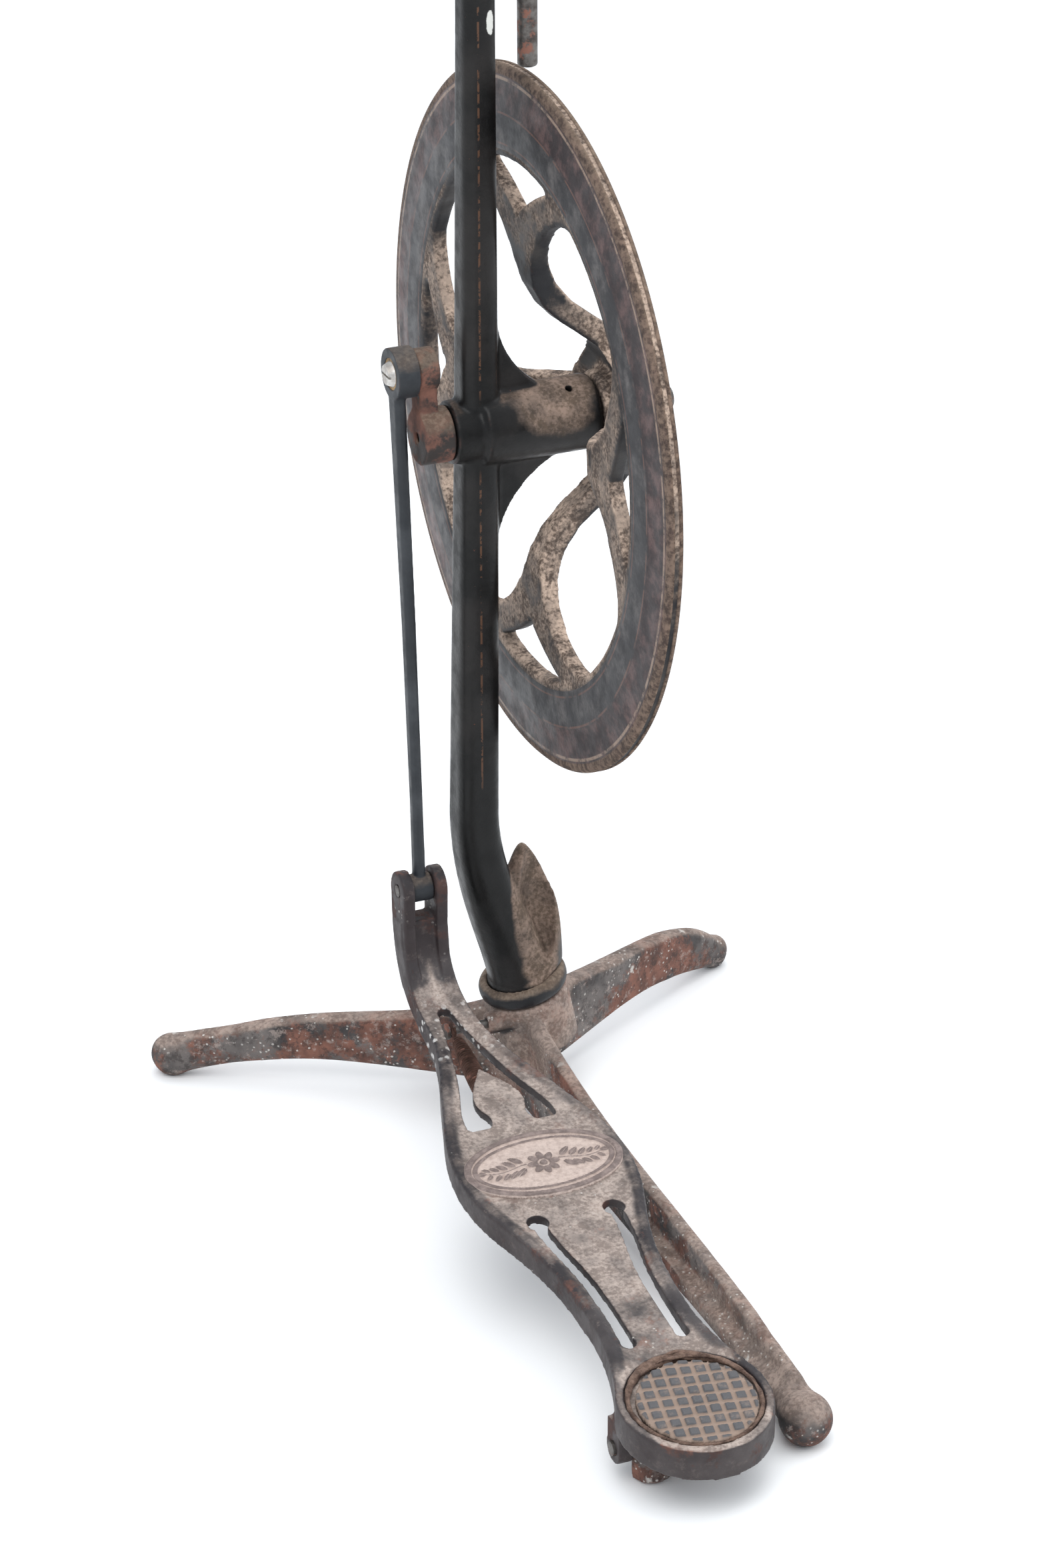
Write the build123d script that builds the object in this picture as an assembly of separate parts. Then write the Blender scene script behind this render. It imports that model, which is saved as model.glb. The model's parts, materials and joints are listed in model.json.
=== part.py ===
"""Treadle grindstone stand: tripod base, bent column, dished flywheel, crank, treadle and grinding head.

Millimetres, +Z up. X runs along the wheel's axle, -Y is the treadle's pad end. The model is built about
the socket in the tripod and is moved at the end so that the row's origin is the bottom centre of its box.
"""
import math
import os

from build123d import *

os.makedirs("parts", exist_ok=True)

# ---- driving sizes -------------------------------------------------------------------------------------
WHEEL_D = 302.0          # flywheel outside diameter
AXLE_Z = 325.3           # axle height above the floor
THROW = 28.8             # crank throw
CRANK_LEAN = 8.0         # crank angle past top dead centre, degrees
ROD_X = -51.0            # plane of the connecting rod and of the treadle's centre line
FRONT_REACH = 301.0      # socket axis to the centre of the front foot
RIGHT_REACH, LEFT_REACH = 151.0, 157.0  # socket axis to the centre of each rear foot
COLUMN_X = -15.3         # top of the column
COLUMN_TOP = 690.0
SPINDLE_RISE = 52.0      # grinding spindle above the column's top
STONE_D, STONE_W = 100.0, 16.0
PIN_Y, PIN_Z = -296.0, 15.0      # treadle fulcrum
CLEVIS_Y, CLEVIS_Z = -14.0, 122.0  # treadle clevis pin
PAD_Y, PAD_Z = -306.0, 37.0      # middle of the pad disc's top
DECK_SLOPE = 8.2         # degrees, pad to neck
SKIRT, PAD_SKIRT = 10.5, 13.5  # depth of the turned-down edge along the deck and round the pad
DECK_T, WALL_T = 4.5, 4.0
RUN = 0.05               # radial running clearance
SEAT = 0.02              # radial clearance of a fixed pin or bush
FACE = 0.3               # gap between faces that turn past each other

WHEEL_R = WHEEL_D / 2
RIM_IN = WHEEL_R - 39
RIM_X0, RIM_X1 = 3.6, 11.0
GROOVE_X = RIM_X0 + 4.4  # belt plane
AXLE_R = 6.0
BUSH_R = AXLE_R + 2.5
BOSS_R = BUSH_R + 7.7
NOSE_R = AXLE_R - 1.5    # threaded end of the axle under the washer and nut
BOSS_X0, BOSS_X1 = -30.0, 35.0
HUB_X0, HUB_X1, HUB_R = BOSS_X1 + 2 * FACE, BOSS_X1 + 25.0, BOSS_R + 0.8
SPINDLE_Z = COLUMN_TOP + SPINDLE_RISE
CRANK_X1 = BOSS_X0 - FACE
CRANK_X0 = -43.7
CRANK_R = AXLE_R + 6.0
EYE_X1 = CRANK_X0 - FACE
EYE_X0 = EYE_X1 - 9.6
CRANK_PIN_Y = THROW * math.sin(math.radians(CRANK_LEAN))
CRANK_PIN_Z = AXLE_Z + THROW * math.cos(math.radians(CRANK_LEAN))
SOCKET_LEAN = 15.0       # lean of the socket and column foot toward -X, degrees
SOCKET = Plane(origin=(3, 0, 58), x_dir=(math.cos(math.radians(SOCKET_LEAN)), 0,
               math.sin(math.radians(SOCKET_LEAN))),
               z_dir=(-math.sin(math.radians(SOCKET_LEAN)), 0, math.cos(math.radians(SOCKET_LEAN))))
FOOT_R = 15.5            # round foot of the column
HUB_WALL_R = FOOT_R + 3.5
EAR_GAP, EAR_T = 10.0, 5.2
CLEVIS_PIN_R, FULCRUM_R = 2.6, 3.0
EAR_L, EAR_R = (ROD_X - 30.6, ROD_X - 24.0), (ROD_X + 24.8, ROD_X + 30.4)  # treadle's fulcrum ears
LUG_X0, LUG_X1 = EAR_L[1] + FACE, EAR_R[0] - FACE   # the stand's lug fills the space between them
SPRING_A = Vector(-34, -8, 44)      # rear hook of the spring, round the stud in the hub
SPRING_B = Vector(ROD_X, -112, 49)  # front hook, through the lug under the treadle


def rod_x(r, x0, x1, y, z, r1=None):
    """Cylinder or cone along X."""
    plane = Plane(origin=(x0, y, z), x_dir=(0, 1, 0), z_dir=(1, 0, 0))
    if r1 is None:
        return plane * Cylinder(r, x1 - x0, align=(Align.CENTER, Align.CENTER, Align.MIN))
    return plane * Cone(r, r1, x1 - x0, align=(Align.CENTER, Align.CENTER, Align.MIN))


def rod_z(r, z0, z1, x, y):
    return Pos(x, y, z0) * Cylinder(r, z1 - z0, align=(Align.CENTER, Align.CENTER, Align.MIN))


def side_plate(points, x0, x1):
    """Closed outline of (y, z) points swept from x0 to x1."""
    face = make_face(Polyline(*[(x0, y, z) for y, z in points], close=True))
    return extrude(face, amount=x1 - x0, dir=(1, 0, 0))


def box(x0, x1, y0, y1, z0, z1):
    return Pos((x0 + x1) / 2, (y0 + y1) / 2, (z0 + z1) / 2) * Box(x1 - x0, y1 - y0, z1 - z0)


def hexagon_x(across, x0, x1, y, z):
    plane = Plane(origin=(x0, y, z), x_dir=(0, 1, 0), z_dir=(1, 0, 0))
    return extrude(plane * RegularPolygon(across / math.sqrt(3), 6), amount=x1 - x0)


# ---- stand ---------------------------------------------------------------------------------------------
def bar(top, bottom, thick, side=0.0):
    """Upright bar along X between two lines of (reach, height) points, its middle moved to Y = side."""
    upper, lower = ([(s, 0, z) for s, z in line] for line in (top, bottom))
    edge = [Spline(*upper), Line(upper[-1], lower[0]), Spline(*lower), Line(lower[-1], upper[0])]
    return Pos(0, side, 0) * extrude(make_face(edge), amount=thick / 2, both=True)


def leg(top, bottom, thick, foot_s, foot_r, flat, angle, side=0.0):
    """Arched bar from the hub that swells into a rounded foot; flat narrows the foot across the leg."""
    web = bar(top, bottom, thick, side)
    web = fillet([e for e in web.edges() if e.length > 0.4 * foot_s], thick * 0.28)
    swell = Plane(origin=(foot_s - 4 * foot_r, 0, foot_r + 3), x_dir=(0, 1, 0), z_dir=(1, 0, -0.08))
    foot = Pos(foot_s, 0, foot_r - 0.6) * Sphere(foot_r)
    foot += swell * Cone(2.5, 0.93 * foot_r, 4 * foot_r, align=(Align.CENTER, Align.CENTER, Align.MIN))
    return Rot(0, 0, angle) * (web + scale(foot, by=(1, flat, 1)))


def tripod_base():
    front_top = [(6, 50), (45, 40), (90, 34), (150, 31), (205, 29), (FRONT_REACH - 10, 23)]
    front_bottom = [(FRONT_REACH - 8, 3), (270, 7), (200, 9), (100, 8), (6, 8)]
    base = leg(front_top, front_bottom, 6.5, FRONT_REACH, 11.5, 1.0, -90, 2.25)
    flange_top = [(6, 24), (100, 19), (200, 17), (FRONT_REACH - 14, 16)]
    base += Rot(0, 0, -90) * bar(flange_top, front_bottom, 7, -3.5)
    for reach, foot_r, drop, angle in ((RIGHT_REACH, 8.5, 0, 30), (LEFT_REACH, 10.5, 3, 150)):
        rear_top = [(6, 50), (45, 42 - drop), (90, 37 - drop), (130, 29 - drop), (reach, 2 * foot_r - 1.4)]
        rear_bottom = [(reach - 7, 2.6), (reach - 20, 6.0), (100, 12.5), (60, 12), (6, 8)]
        base += leg(rear_top, rear_bottom, 10, reach, foot_r, 0.8, angle)
    hub = Cone(FOOT_R + 1.9, HUB_WALL_R, 28, align=(Align.CENTER, Align.CENTER, Align.MAX))
    base += SOCKET * Pos(0, 0, -4) * hub
    base += rod_z(FOOT_R + 0.5, 8, 42, 4, 0)
    base += rod_x(5, -FOOT_R - 2.5, -FOOT_R + 9.5, SPRING_A.Y, SPRING_A.Z)
    base += fulcrum_arm()
    base -= box(-400, 400, -400, 400, -20, 0)
    base -= SOCKET * Pos(0, 0, -4) * Cylinder(FOOT_R + SEAT, 20.02,
                                              align=(Align.CENTER, Align.CENTER, Align.MAX))
    base -= rod_x(FULCRUM_R + SEAT, -80, -20, PIN_Y, PIN_Z)
    base -= anchor_hole()
    return base


def fulcrum_arm():
    """Web from the front leg under the pad disc, with the lug that carries the treadle's pin."""
    plan = [(-3, -246), (-3, -284), (-27.5, -284), (-27.5, -301), (-64, -301), (-68, -291), (-52, -277),
            (-26, -262)]
    web = extrude(make_face(Polyline(*[(x, y, 4) for x, y in plan], close=True)), amount=7)
    lug = rod_x(7.2, LUG_X0 + 2, LUG_X1, PIN_Y, PIN_Z)
    block = Plane(origin=(LUG_X0 + 8.4, PIN_Y - 3, 0.8)) * extrude(RegularPolygon(8.4, 8), amount=19)
    return web + lug + chamfer(block.edges().group_by(Axis.Z)[-1], 2.4)


def anchor_hole():
    return rod_x(2.0 + SEAT, -FOOT_R - 4, -FOOT_R + 6.1, SPRING_A.Y, SPRING_A.Z)


def spring_anchor():
    """Headed stud in the hub's side that holds the spring's rear hook."""
    stud = rod_x(2.0, -36, -FOOT_R + 6.0, SPRING_A.Y, SPRING_A.Z)
    return stud + rod_x(3.6, -37.5, -36, SPRING_A.Y, SPRING_A.Z)


def socket_collar():
    ring = Cylinder(HUB_WALL_R + 1, 8.5) - Cylinder(FOOT_R + SEAT, 10)
    outer = ring.edges().filter_by(GeomType.CIRCLE).group_by(SortBy.RADIUS)[-1]
    return SOCKET * Pos(0, 0, 0.25) * fillet(outer, 3.6)


def section(width, depth, corner, plane):
    return plane * RectangleRounded(width, depth, corner)


# height, centre, width, depth and corner radius of the column's shaft
SHAFT = [(145, -19.5, 18.8, 20.0, 5.5), (AXLE_Z, -16.9, 16.5, 17.5, 5.0), (505, -15.8, 14.4, 15.2, 4.5),
         (COLUMN_TOP, COLUMN_X, 12.8, 14.0, 4.0)]


def shaft_section(z, grow=0.0):
    """Section of the tapering shaft at height z, grown all round for a socket."""
    low, high = next((a, b) for a, b in zip(SHAFT, SHAFT[1:]) if z <= b[0])
    t = (z - low[0]) / (high[0] - low[0])
    x, w, d, c = (a + t * (b - a) for a, b in zip(low[1:], high[1:]))
    return section(w + 2 * grow, d + 2 * grow, c + grow, Plane(origin=(x, 0, z)))


def column():
    """Bent foot, straight tapering shaft, axle boss with gussets, and the hollow horn beside the foot."""
    lean = math.radians(SOCKET_LEAN)

    def tilted(x, z, share):
        a = lean * share
        return Plane(origin=(x, 0, z), x_dir=(math.cos(a), 0, math.sin(a)),
                     z_dir=(-math.sin(a), 0, math.cos(a)))
    across = 2 * FOOT_R - 2
    low = [section(across, across, FOOT_R - 2, tilted(2.2, 61, 1.0)),
           section(26, 26.5, 11.5, tilted(-4.0, 80, 1.1)),
           section(23, 24, 9, tilted(-11.5, 101, 1.1)), section(20.5, 21.5, 7, tilted(-17.0, 122, 0.6)),
           shaft_section(SHAFT[0][0])]
    body = loft(low)
    for a, b in zip(SHAFT, SHAFT[1:]):
        body += loft([shaft_section(a[0]), shaft_section(b[0])])
    body += horn()
    body -= SOCKET * Pos(0, 0, -24) * Cylinder(40, 28.6, align=(Align.CENTER, Align.CENTER, Align.MIN))
    body += SOCKET * Pos(0, 0, -24) * Cylinder(FOOT_R, 28.7, align=(Align.CENTER, Align.CENTER, Align.MIN))
    body += rod_x(BOSS_R - 2.6, BOSS_X0, -16.9, 0, AXLE_Z) + rod_x(BOSS_R, -16.9, BOSS_X1 - 1.4, 0, AXLE_Z)
    body += rod_x(BOSS_R, BOSS_X1 - 1.4, BOSS_X1, 0, AXLE_Z, BOSS_R - 1.4)
    body += gusset(1, 50, 30) + gusset(-1, 50, 42)
    body -= rod_x(BUSH_R + SEAT, BOSS_X0 - 1, BOSS_X1 + 1, 0, AXLE_Z)
    body -= Pos(22.5, 0, AXLE_Z) * Rot(25, 0, 0) * rod_z(1.8, 0, BOSS_R + 4, 0, 0)
    body -= rod_x(2.5 + SEAT, COLUMN_X - 20, COLUMN_X, 0, COLUMN_TOP - 12)
    return body


def horn():
    """Leaf-shaped shell beside the column's foot, hollow on the treadle's side."""
    outline = Spline((19, 0, 56), (20.8, 0, 72), (19.0, 0, 90), (13.8, 0, 108), (8.4, 0, 120), (3.4, 0, 125),
                     (-2.2, 0, 120.5), (-5.4, 0, 106), (-4, 0, 80), (2, 0, 56))
    leaf = extrude(make_face([outline, Line((2, 0, 56), (19, 0, 56))]), amount=14, both=True)
    leaf &= Pos(6, 0, 62) * scale(Sphere(1), by=(15.2, 14, 66))
    hollow = Pos(5.2, -10, 80) * Rot(0, 5, 0) * rod_z(9.0, 0, 60, 0, 0)
    return leaf - hollow - Pos(5.2, -10, 80) * Sphere(9.0)


def gusset(side, rise, run):
    """Thin curved web between the column and the long axle boss, above (1) or below (-1)."""
    x0, near = -14.0, -8.6
    far = near + run
    z_col, z_boss = AXLE_Z + side * rise, AXLE_Z + side * 12
    middle = (near + 0.34 * run, 0, AXLE_Z + side * (12 + 0.34 * (rise - 12)))
    curve = ThreePointArc((near, 0, z_col), middle, (far, 0, z_boss))
    rest = Polyline((far, 0, z_boss), (x0, 0, z_boss), (x0, 0, z_col), (near, 0, z_col))
    return extrude(make_face([curve, rest]), amount=3.5, both=True)


def axle_bush(x0, x1):
    return rod_x(BUSH_R, x0, x1, 0, AXLE_Z) - rod_x(AXLE_R + RUN, x0 - 1, x1 + 1, 0, AXLE_Z)


# ---- flywheel ------------------------------------------------------------------------------------------
FORKS = [4 + 90 * k for k in range(4)]   # spoke angles from -Y toward +Z
# radius, middle and thickness along the axle of the dished web
DISH = [(12, 50, 12), (22, 48, 12), (30, 43.5, 14), (36, 37, 16), (42, 29, 16), (50, 20, 14), (60, 13.3, 11),
        (70, 10.2, 8.5), (80, 8.8, 7.2), (95, 7.6, 6.8), (RIM_IN + 6, 7.3, 6.8)]


def wheel_point(r, angle):
    """Point in the wheel's plane, angle in degrees from -Y toward +Z."""
    a = math.radians(angle)
    return (0, -r * math.cos(a), AXLE_Z + r * math.sin(a))


def big_window(mid):
    """Opening between two forked spokes, centred on angle mid."""
    side = [(30, 12), (42, 8), (52, 6.5), (62, 7), (72, 9), (82, 12.5), (RIM_IN - 20, 17), (RIM_IN - 11, 22),
            (RIM_IN - 5, 26)]
    up = [wheel_point(r, mid + 45 - off) for r, off in side]
    down = [wheel_point(r, mid - 45 + off) for r, off in reversed(side)]
    rim_a, rim_b, rim_m = (wheel_point(RIM_IN, a) for a in (mid + 14, mid - 14, mid))
    rim = ThreePointArc(rim_a, rim_m, rim_b)
    hub = ThreePointArc(down[-1], wheel_point(27, mid), up[0])
    return make_face([Spline(*up, rim_a), rim, Spline(rim_b, *down), hub])


def small_window(mid):
    """Opening inside a fork, between its two prongs and the rim."""
    tip, near = RIM_IN - 22, RIM_IN - 12.5
    a, b = wheel_point(RIM_IN, mid + 17.5), wheel_point(RIM_IN, mid - 17.5)
    left = ThreePointArc(wheel_point(tip, mid), wheel_point(near, mid + 8), a)
    right = ThreePointArc(b, wheel_point(near, mid - 8), wheel_point(tip, mid))
    return make_face([left, ThreePointArc(a, wheel_point(RIM_IN, mid), b), right])


def ring_of(profile):
    """Revolve (radius, x) points about the axle."""
    face = make_face(Polyline(*[(x, 0, AXLE_Z + r) for r, x in profile], close=True))
    return revolve(face, Axis((0, 0, AXLE_Z), (1, 0, 0)), 360)


def flywheel():
    front = [(r, x - t / 2) for r, x, t in DISH]
    back = [(r, x + t / 2) for r, x, t in reversed(DISH)]
    web = ring_of(front + back)
    for fork in FORKS:
        web -= extrude(big_window(fork + 45), amount=80, dir=(1, 0, 0))
        web -= extrude(small_window(fork), amount=80, dir=(1, 0, 0))
    rim = ring_of([(RIM_IN, RIM_X0 + 1), (RIM_IN + 1, RIM_X0), (WHEEL_R - 19, RIM_X0),
                   (WHEEL_R - 18.4, RIM_X0 + 0.6), (WHEEL_R - 2, RIM_X0 + 1.4), (WHEEL_R - 0.3, RIM_X0 + 2.4),
                   (WHEEL_R, GROOVE_X - 1.2), (WHEEL_R - 3, GROOVE_X - 0.5), (WHEEL_R - 3, GROOVE_X + 0.5),
                   (WHEEL_R, GROOVE_X + 1.2), (WHEEL_R - 0.4, RIM_X1 - 0.6), (WHEEL_R - 1.6, RIM_X1),
                   (RIM_IN + 1, RIM_X1), (RIM_IN, RIM_X1 - 1)])
    hub = rod_x(HUB_R - 1, HUB_X0, HUB_X0 + 2, 0, AXLE_Z, HUB_R)
    hub += rod_x(HUB_R, HUB_X0 + 2, HUB_X1 - 3, 0, AXLE_Z)
    hub += rod_x(HUB_R, HUB_X1 - 3, HUB_X1, 0, AXLE_Z, HUB_R - 4)
    return web + rim + hub - rod_x(AXLE_R + SEAT, 0, 90, 0, AXLE_Z)


def axle():
    return rod_x(AXLE_R, CRANK_X0 + 1.5, HUB_X1, 0, AXLE_Z) + rod_x(NOSE_R, HUB_X1, HUB_X1 + 12, 0, AXLE_Z)


def hub_washer():
    washer = rod_x(NOSE_R + 5, HUB_X1, HUB_X1 + 2, 0, AXLE_Z)
    return washer - rod_x(NOSE_R + SEAT, HUB_X1 - 1, HUB_X1 + 3, 0, AXLE_Z)


def hub_nut():
    nut = hexagon_x(2 * NOSE_R + 5, HUB_X1 + 2, HUB_X1 + 9.5, 0, AXLE_Z)
    nut &= rod_x(NOSE_R + 3.3, HUB_X1 + 2, HUB_X1 + 9.5, 0, AXLE_Z)
    return nut - rod_x(NOSE_R + SEAT, HUB_X1, HUB_X1 + 12, 0, AXLE_Z)


def crank_arm():
    """Pear-shaped crank: a large boss on the axle, a narrow neck and a smaller boss behind the rod's eye."""
    arm = rod_x(CRANK_R, CRANK_X0, CRANK_X1, 0, AXLE_Z)
    arm += rod_x(9.2, CRANK_X0, CRANK_X1 - 4, CRANK_PIN_Y, CRANK_PIN_Z)
    neck = box(CRANK_X0 + 0.6, CRANK_X1 - 5, -5.6, 5.6, 0, THROW)
    arm += Pos(0, 0, AXLE_Z) * Rot(-CRANK_LEAN, 0, 0) * neck
    arm -= rod_x(AXLE_R + SEAT, CRANK_X0 + 1.5, CRANK_X1 + 1, 0, AXLE_Z)
    arm -= rod_x(2.2, CRANK_X0 - 1, CRANK_X0 + 1.5, 0, AXLE_Z)
    return arm - rod_z(2.0 + SEAT, AXLE_Z - CRANK_R - 2, AXLE_Z - AXLE_R + 0.5, (CRANK_X0 + CRANK_X1) / 2, 0)


def crank_set_screw():
    x = (CRANK_X0 + CRANK_X1) / 2
    screw = rod_z(2.0, AXLE_Z - CRANK_R + 0.4, AXLE_Z - AXLE_R - 0.1, x, 0)
    return screw - box(x - 3, x + 3, -0.4, 0.4, AXLE_Z - CRANK_R, AXLE_Z - CRANK_R + 1.4)


# ---- connecting rod ------------------------------------------------------------------------------------
ROD_ANGLE = math.atan2(CRANK_PIN_Y - CLEVIS_Y, CRANK_PIN_Z - CLEVIS_Z)
ROD_LEN = math.hypot(CRANK_PIN_Y - CLEVIS_Y, CRANK_PIN_Z - CLEVIS_Z)
ROD = Pos(ROD_X, CLEVIS_Y, CLEVIS_Z) * Rot(-math.degrees(ROD_ANGLE), 0, 0)
BARREL_R, BARREL_HALF = 6.2, EAR_GAP / 2 - FACE
EYE_R, EYE_BUSH_R, SCREW_R = 11.0, 6.8, 4.0


def connecting_rod():
    """Tapered chamfered bar with an eye at the crank and a cross barrel in the clevis."""
    stations = [(4, 0, 6.2, 5.0), (40, -1.0, 6.0, 4.8), (120, -1.6, 7.0, 4.9), (190, -0.6, 8.6, 5.0),
                (ROD_LEN - 8, 0, 9.8, 5.1)]
    bar = None
    for (z0, y0, d0, w0), (z1, y1, d1, w1) in zip(stations, stations[1:]):
        ends = Plane(origin=(0, y0, z0)) * chamfered(w0, d0), Plane(origin=(0, y1, z1)) * chamfered(w1, d1)
        piece = loft(list(ends))
        bar = piece if bar is None else bar + piece
    rod = ROD * bar
    rod += rod_x(EYE_R, EYE_X0, EYE_X1, CRANK_PIN_Y, CRANK_PIN_Z)
    rod -= rod_x(EYE_BUSH_R + SEAT, EYE_X0 - 1, EYE_X1 + 1, CRANK_PIN_Y, CRANK_PIN_Z)
    rod += rod_x(BARREL_R, ROD_X - BARREL_HALF, ROD_X + BARREL_HALF, CLEVIS_Y, CLEVIS_Z)
    return rod - rod_x(CLEVIS_PIN_R + RUN, ROD_X - 20, ROD_X + 20, CLEVIS_Y, CLEVIS_Z)


def chamfered(width, depth):
    return chamfer(Rectangle(width, depth).vertices(), 0.26 * width)


def rod_eye_bush():
    bush = rod_x(EYE_BUSH_R, EYE_X0 + 0.4, EYE_X1, CRANK_PIN_Y, CRANK_PIN_Z)
    return bush - rod_x(SCREW_R + SEAT, EYE_X0 - 1, EYE_X1 + 1, CRANK_PIN_Y, CRANK_PIN_Z)


def crank_pin_screw():
    """Outer part of the crank pin: shank in the bush and a slotted cone head. It ends at the crank's face."""
    head_x = EYE_X0 + 0.4
    pin = rod_x(SCREW_R, head_x, EYE_X1, CRANK_PIN_Y, CRANK_PIN_Z)
    head = rod_x(4.2, head_x - 2.6, head_x, CRANK_PIN_Y, CRANK_PIN_Z, 5.6)
    slot = Pos(head_x - 2.8, CRANK_PIN_Y, CRANK_PIN_Z) * Box(2.4, 14, 1)
    return pin + head - slot


# ---- treadle -------------------------------------------------------------------------------------------
SLOPE = math.tan(math.radians(DECK_SLOPE))
HALF_WIDTHS = [(-294, 28.9), (-283, 25.4), (-270, 22.4), (-258, 20.9), (-245, 20.8), (-221, 22.5),
               (-208, 25), (-191, 29.8), (-176, 34.6), (-150, 37.4), (-130, 34.4), (-110, 28), (-96, 23.4),
               (-85, 19.4), (-73, 15.6), (-57, 12.3), (-45, 11.3), (-33, 10.8), (-4, 10.4)]


def deck_z(y):
    return PAD_Z + (y - PAD_Y) * SLOPE


def treadle_side(drop, x0, x1, extra=0.0):
    """Side view of the deck between depth drop and depth drop + extra below its top."""
    top = [(y, deck_z(y)) for y in (-345, -300, -200, -100, -57)]
    top += [(-45, 75.6), (-33, 80.0), (-25, 87), (-20.5, 96), (-18.8, 108)]
    normals = [(SLOPE, -1)] * 5 + [(0.25, -0.97), (0.5, -0.86), (0.75, -0.66), (0.95, -0.3), (1.0, 0.0)]

    def shifted(depth):
        return [(y + ny * depth, z + nz * depth) for (y, z), (ny, nz) in zip(top, normals)]
    upper, lower = shifted(drop), shifted(drop + extra)
    lines = [Polyline(*[(x0, y, z) for y, z in upper[:5]]), Spline(*[(x0, y, z) for y, z in upper[4:]]),
             Line((x0, *upper[-1]), (x0, *lower[-1])), Spline(*[(x0, y, z) for y, z in reversed(lower[4:])]),
             Polyline(*[(x0, y, z) for y, z in reversed(lower[:5])]), Line((x0, *lower[0]), (x0, *upper[0]))]
    return extrude(make_face(lines), amount=x1 - x0, dir=(1, 0, 0))


def treadle_plan(inset):
    """Outline of the deck seen from above, as a prism."""
    right = [(ROD_X + w - inset, y, 0) for y, w in HALF_WIDTHS]
    left = [(ROD_X - w + inset, y, 0) for y, w in reversed(HALF_WIDTHS)]
    lines = [Spline(*right[:-2]), Polyline(*right[-3:]), Line(right[-1], left[0]), Polyline(*left[:3]),
             Spline(*left[2:]), Line(left[-1], right[0])]
    shape = extrude(make_face(lines), amount=150, dir=(0, 0, 1))
    return shape + rod_z(31.6 - inset, 0, 150, ROD_X, PAD_Y)


def deck_slots():
    """Two long slots behind the pad, and the arched opening with its leaf tongue under the neck."""
    cut = None
    for side in (-1, 1):
        path = [(17.0, -187), (15.4, -206), (12.9, -221), (11.3, -245), (11.6, -268)]
        line = Spline(*[(ROD_X + side * x, y) for x, y in path])
        shape = trace(line, 5.4) + Pos(ROD_X + side * 16.9, -187) * Circle(4.6)
        shape += Pos(ROD_X + side * 11.6, -267.5) * Circle(3.1)
        cut = shape if cut is None else cut + shape
    mid = ROD_X - 1
    arch = [(2.8, -44.5), (5.4, -60), (8.8, -77), (15, -100), (19.2, -113), (20, -121)]
    leaf = [(0, -83), (4.6, -91), (10.2, -102.5), (10.6, -109), (8.6, -115), (10.6, -123)]
    top = ThreePointArc((mid - 2.8, -44.5), (mid, -41.5), (mid + 2.8, -44.5))
    base = Polyline((mid + 20, -121), (mid + 19, -123), (mid - 19, -123), (mid - 20, -121))
    arched = make_face([top, Spline(*[(mid + x, y) for x, y in arch]), base,
                        Spline(*[(mid - x, y) for x, y in arch])])
    foot = Polyline((mid + 10.6, -123), (mid + 10.6, -127), (mid - 10.6, -127), (mid - 10.6, -123))
    tongue = make_face([Spline(*[(mid + x, y) for x, y in leaf]), foot,
                        Spline(*[(mid - x, y) for x, y in leaf])])
    return extrude(cut + (arched - tongue), amount=150)


def treadle():
    body = treadle_side(0, -120, 20, SKIRT) & treadle_plan(0)
    body += treadle_side(0, -120, 20, PAD_SKIRT) & rod_z(31.6, 0, 150, ROD_X, PAD_Y)
    hollow = treadle_side(DECK_T, -120, 20, PAD_SKIRT) & treadle_plan(WALL_T)
    hollow -= box(-120, 20, -31, 20, 0, 150)
    body -= hollow
    body += clevis_ears() + fulcrum_ears() + spring_lug()
    body -= deck_slots()
    body -= PAD_PLANE * Pos(0, 0, -2.6) * Cylinder(28, 10, align=(Align.CENTER, Align.CENTER, Align.MIN))
    body -= rod_x(FULCRUM_R + RUN, -90, -10, PIN_Y, PIN_Z)
    body -= rod_x(CLEVIS_PIN_R + SEAT, -70, -30, CLEVIS_Y, CLEVIS_Z)
    return body


PAD_PLANE = Plane(origin=(ROD_X, PAD_Y, PAD_Z), x_dir=(1, 0, 0),
                  z_dir=(0, -math.sin(math.radians(DECK_SLOPE)), math.cos(math.radians(DECK_SLOPE))))


def clevis_ears():
    """Two round-topped ears either side of the rod's barrel, growing out of the neck."""
    side = [(-31.5, 80), (-24, 92), (-22.0, 106), (-22.3, 121), (-5.4, 121), (-6.5, 104), (-10, 90),
            (-18, 76)]
    ears = None
    for x0 in (ROD_X - EAR_GAP / 2 - EAR_T, ROD_X + EAR_GAP / 2):
        ear = side_plate(side, x0, x0 + EAR_T) + rod_x(8.6, x0, x0 + EAR_T, CLEVIS_Y, CLEVIS_Z)
        ears = ear if ears is None else ears + ear
    return ears


def fulcrum_ears():
    """Lugs under the pad disc that hang on the fulcrum pin."""
    ears = None
    for x0, x1 in (EAR_L, EAR_R):
        ear = rod_x(6.6, x0, x1, PIN_Y, PIN_Z)
        ear += box(x0, x1, PIN_Y - 6, PIN_Y + 6, PIN_Z, deck_z(PIN_Y) - 2)
        ears = ear if ears is None else ears + ear
    return ears & (treadle_plan(0) + box(-90, -10, PIN_Y - 8, PIN_Y + 8, 0, 27))


def spring_lug():
    """Drilled lug under the leaf tongue for the spring's front hook."""
    y, z = SPRING_B.Y, SPRING_B.Z
    lug = box(ROD_X - 1.5, ROD_X + 1.5, y - 4.5, y + 4.5, z, deck_z(y) - 2)
    lug += rod_x(4.5, ROD_X - 1.5, ROD_X + 1.5, y, z)
    return lug - rod_x(1.5, ROD_X - 5, ROD_X + 5, y, z)


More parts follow.
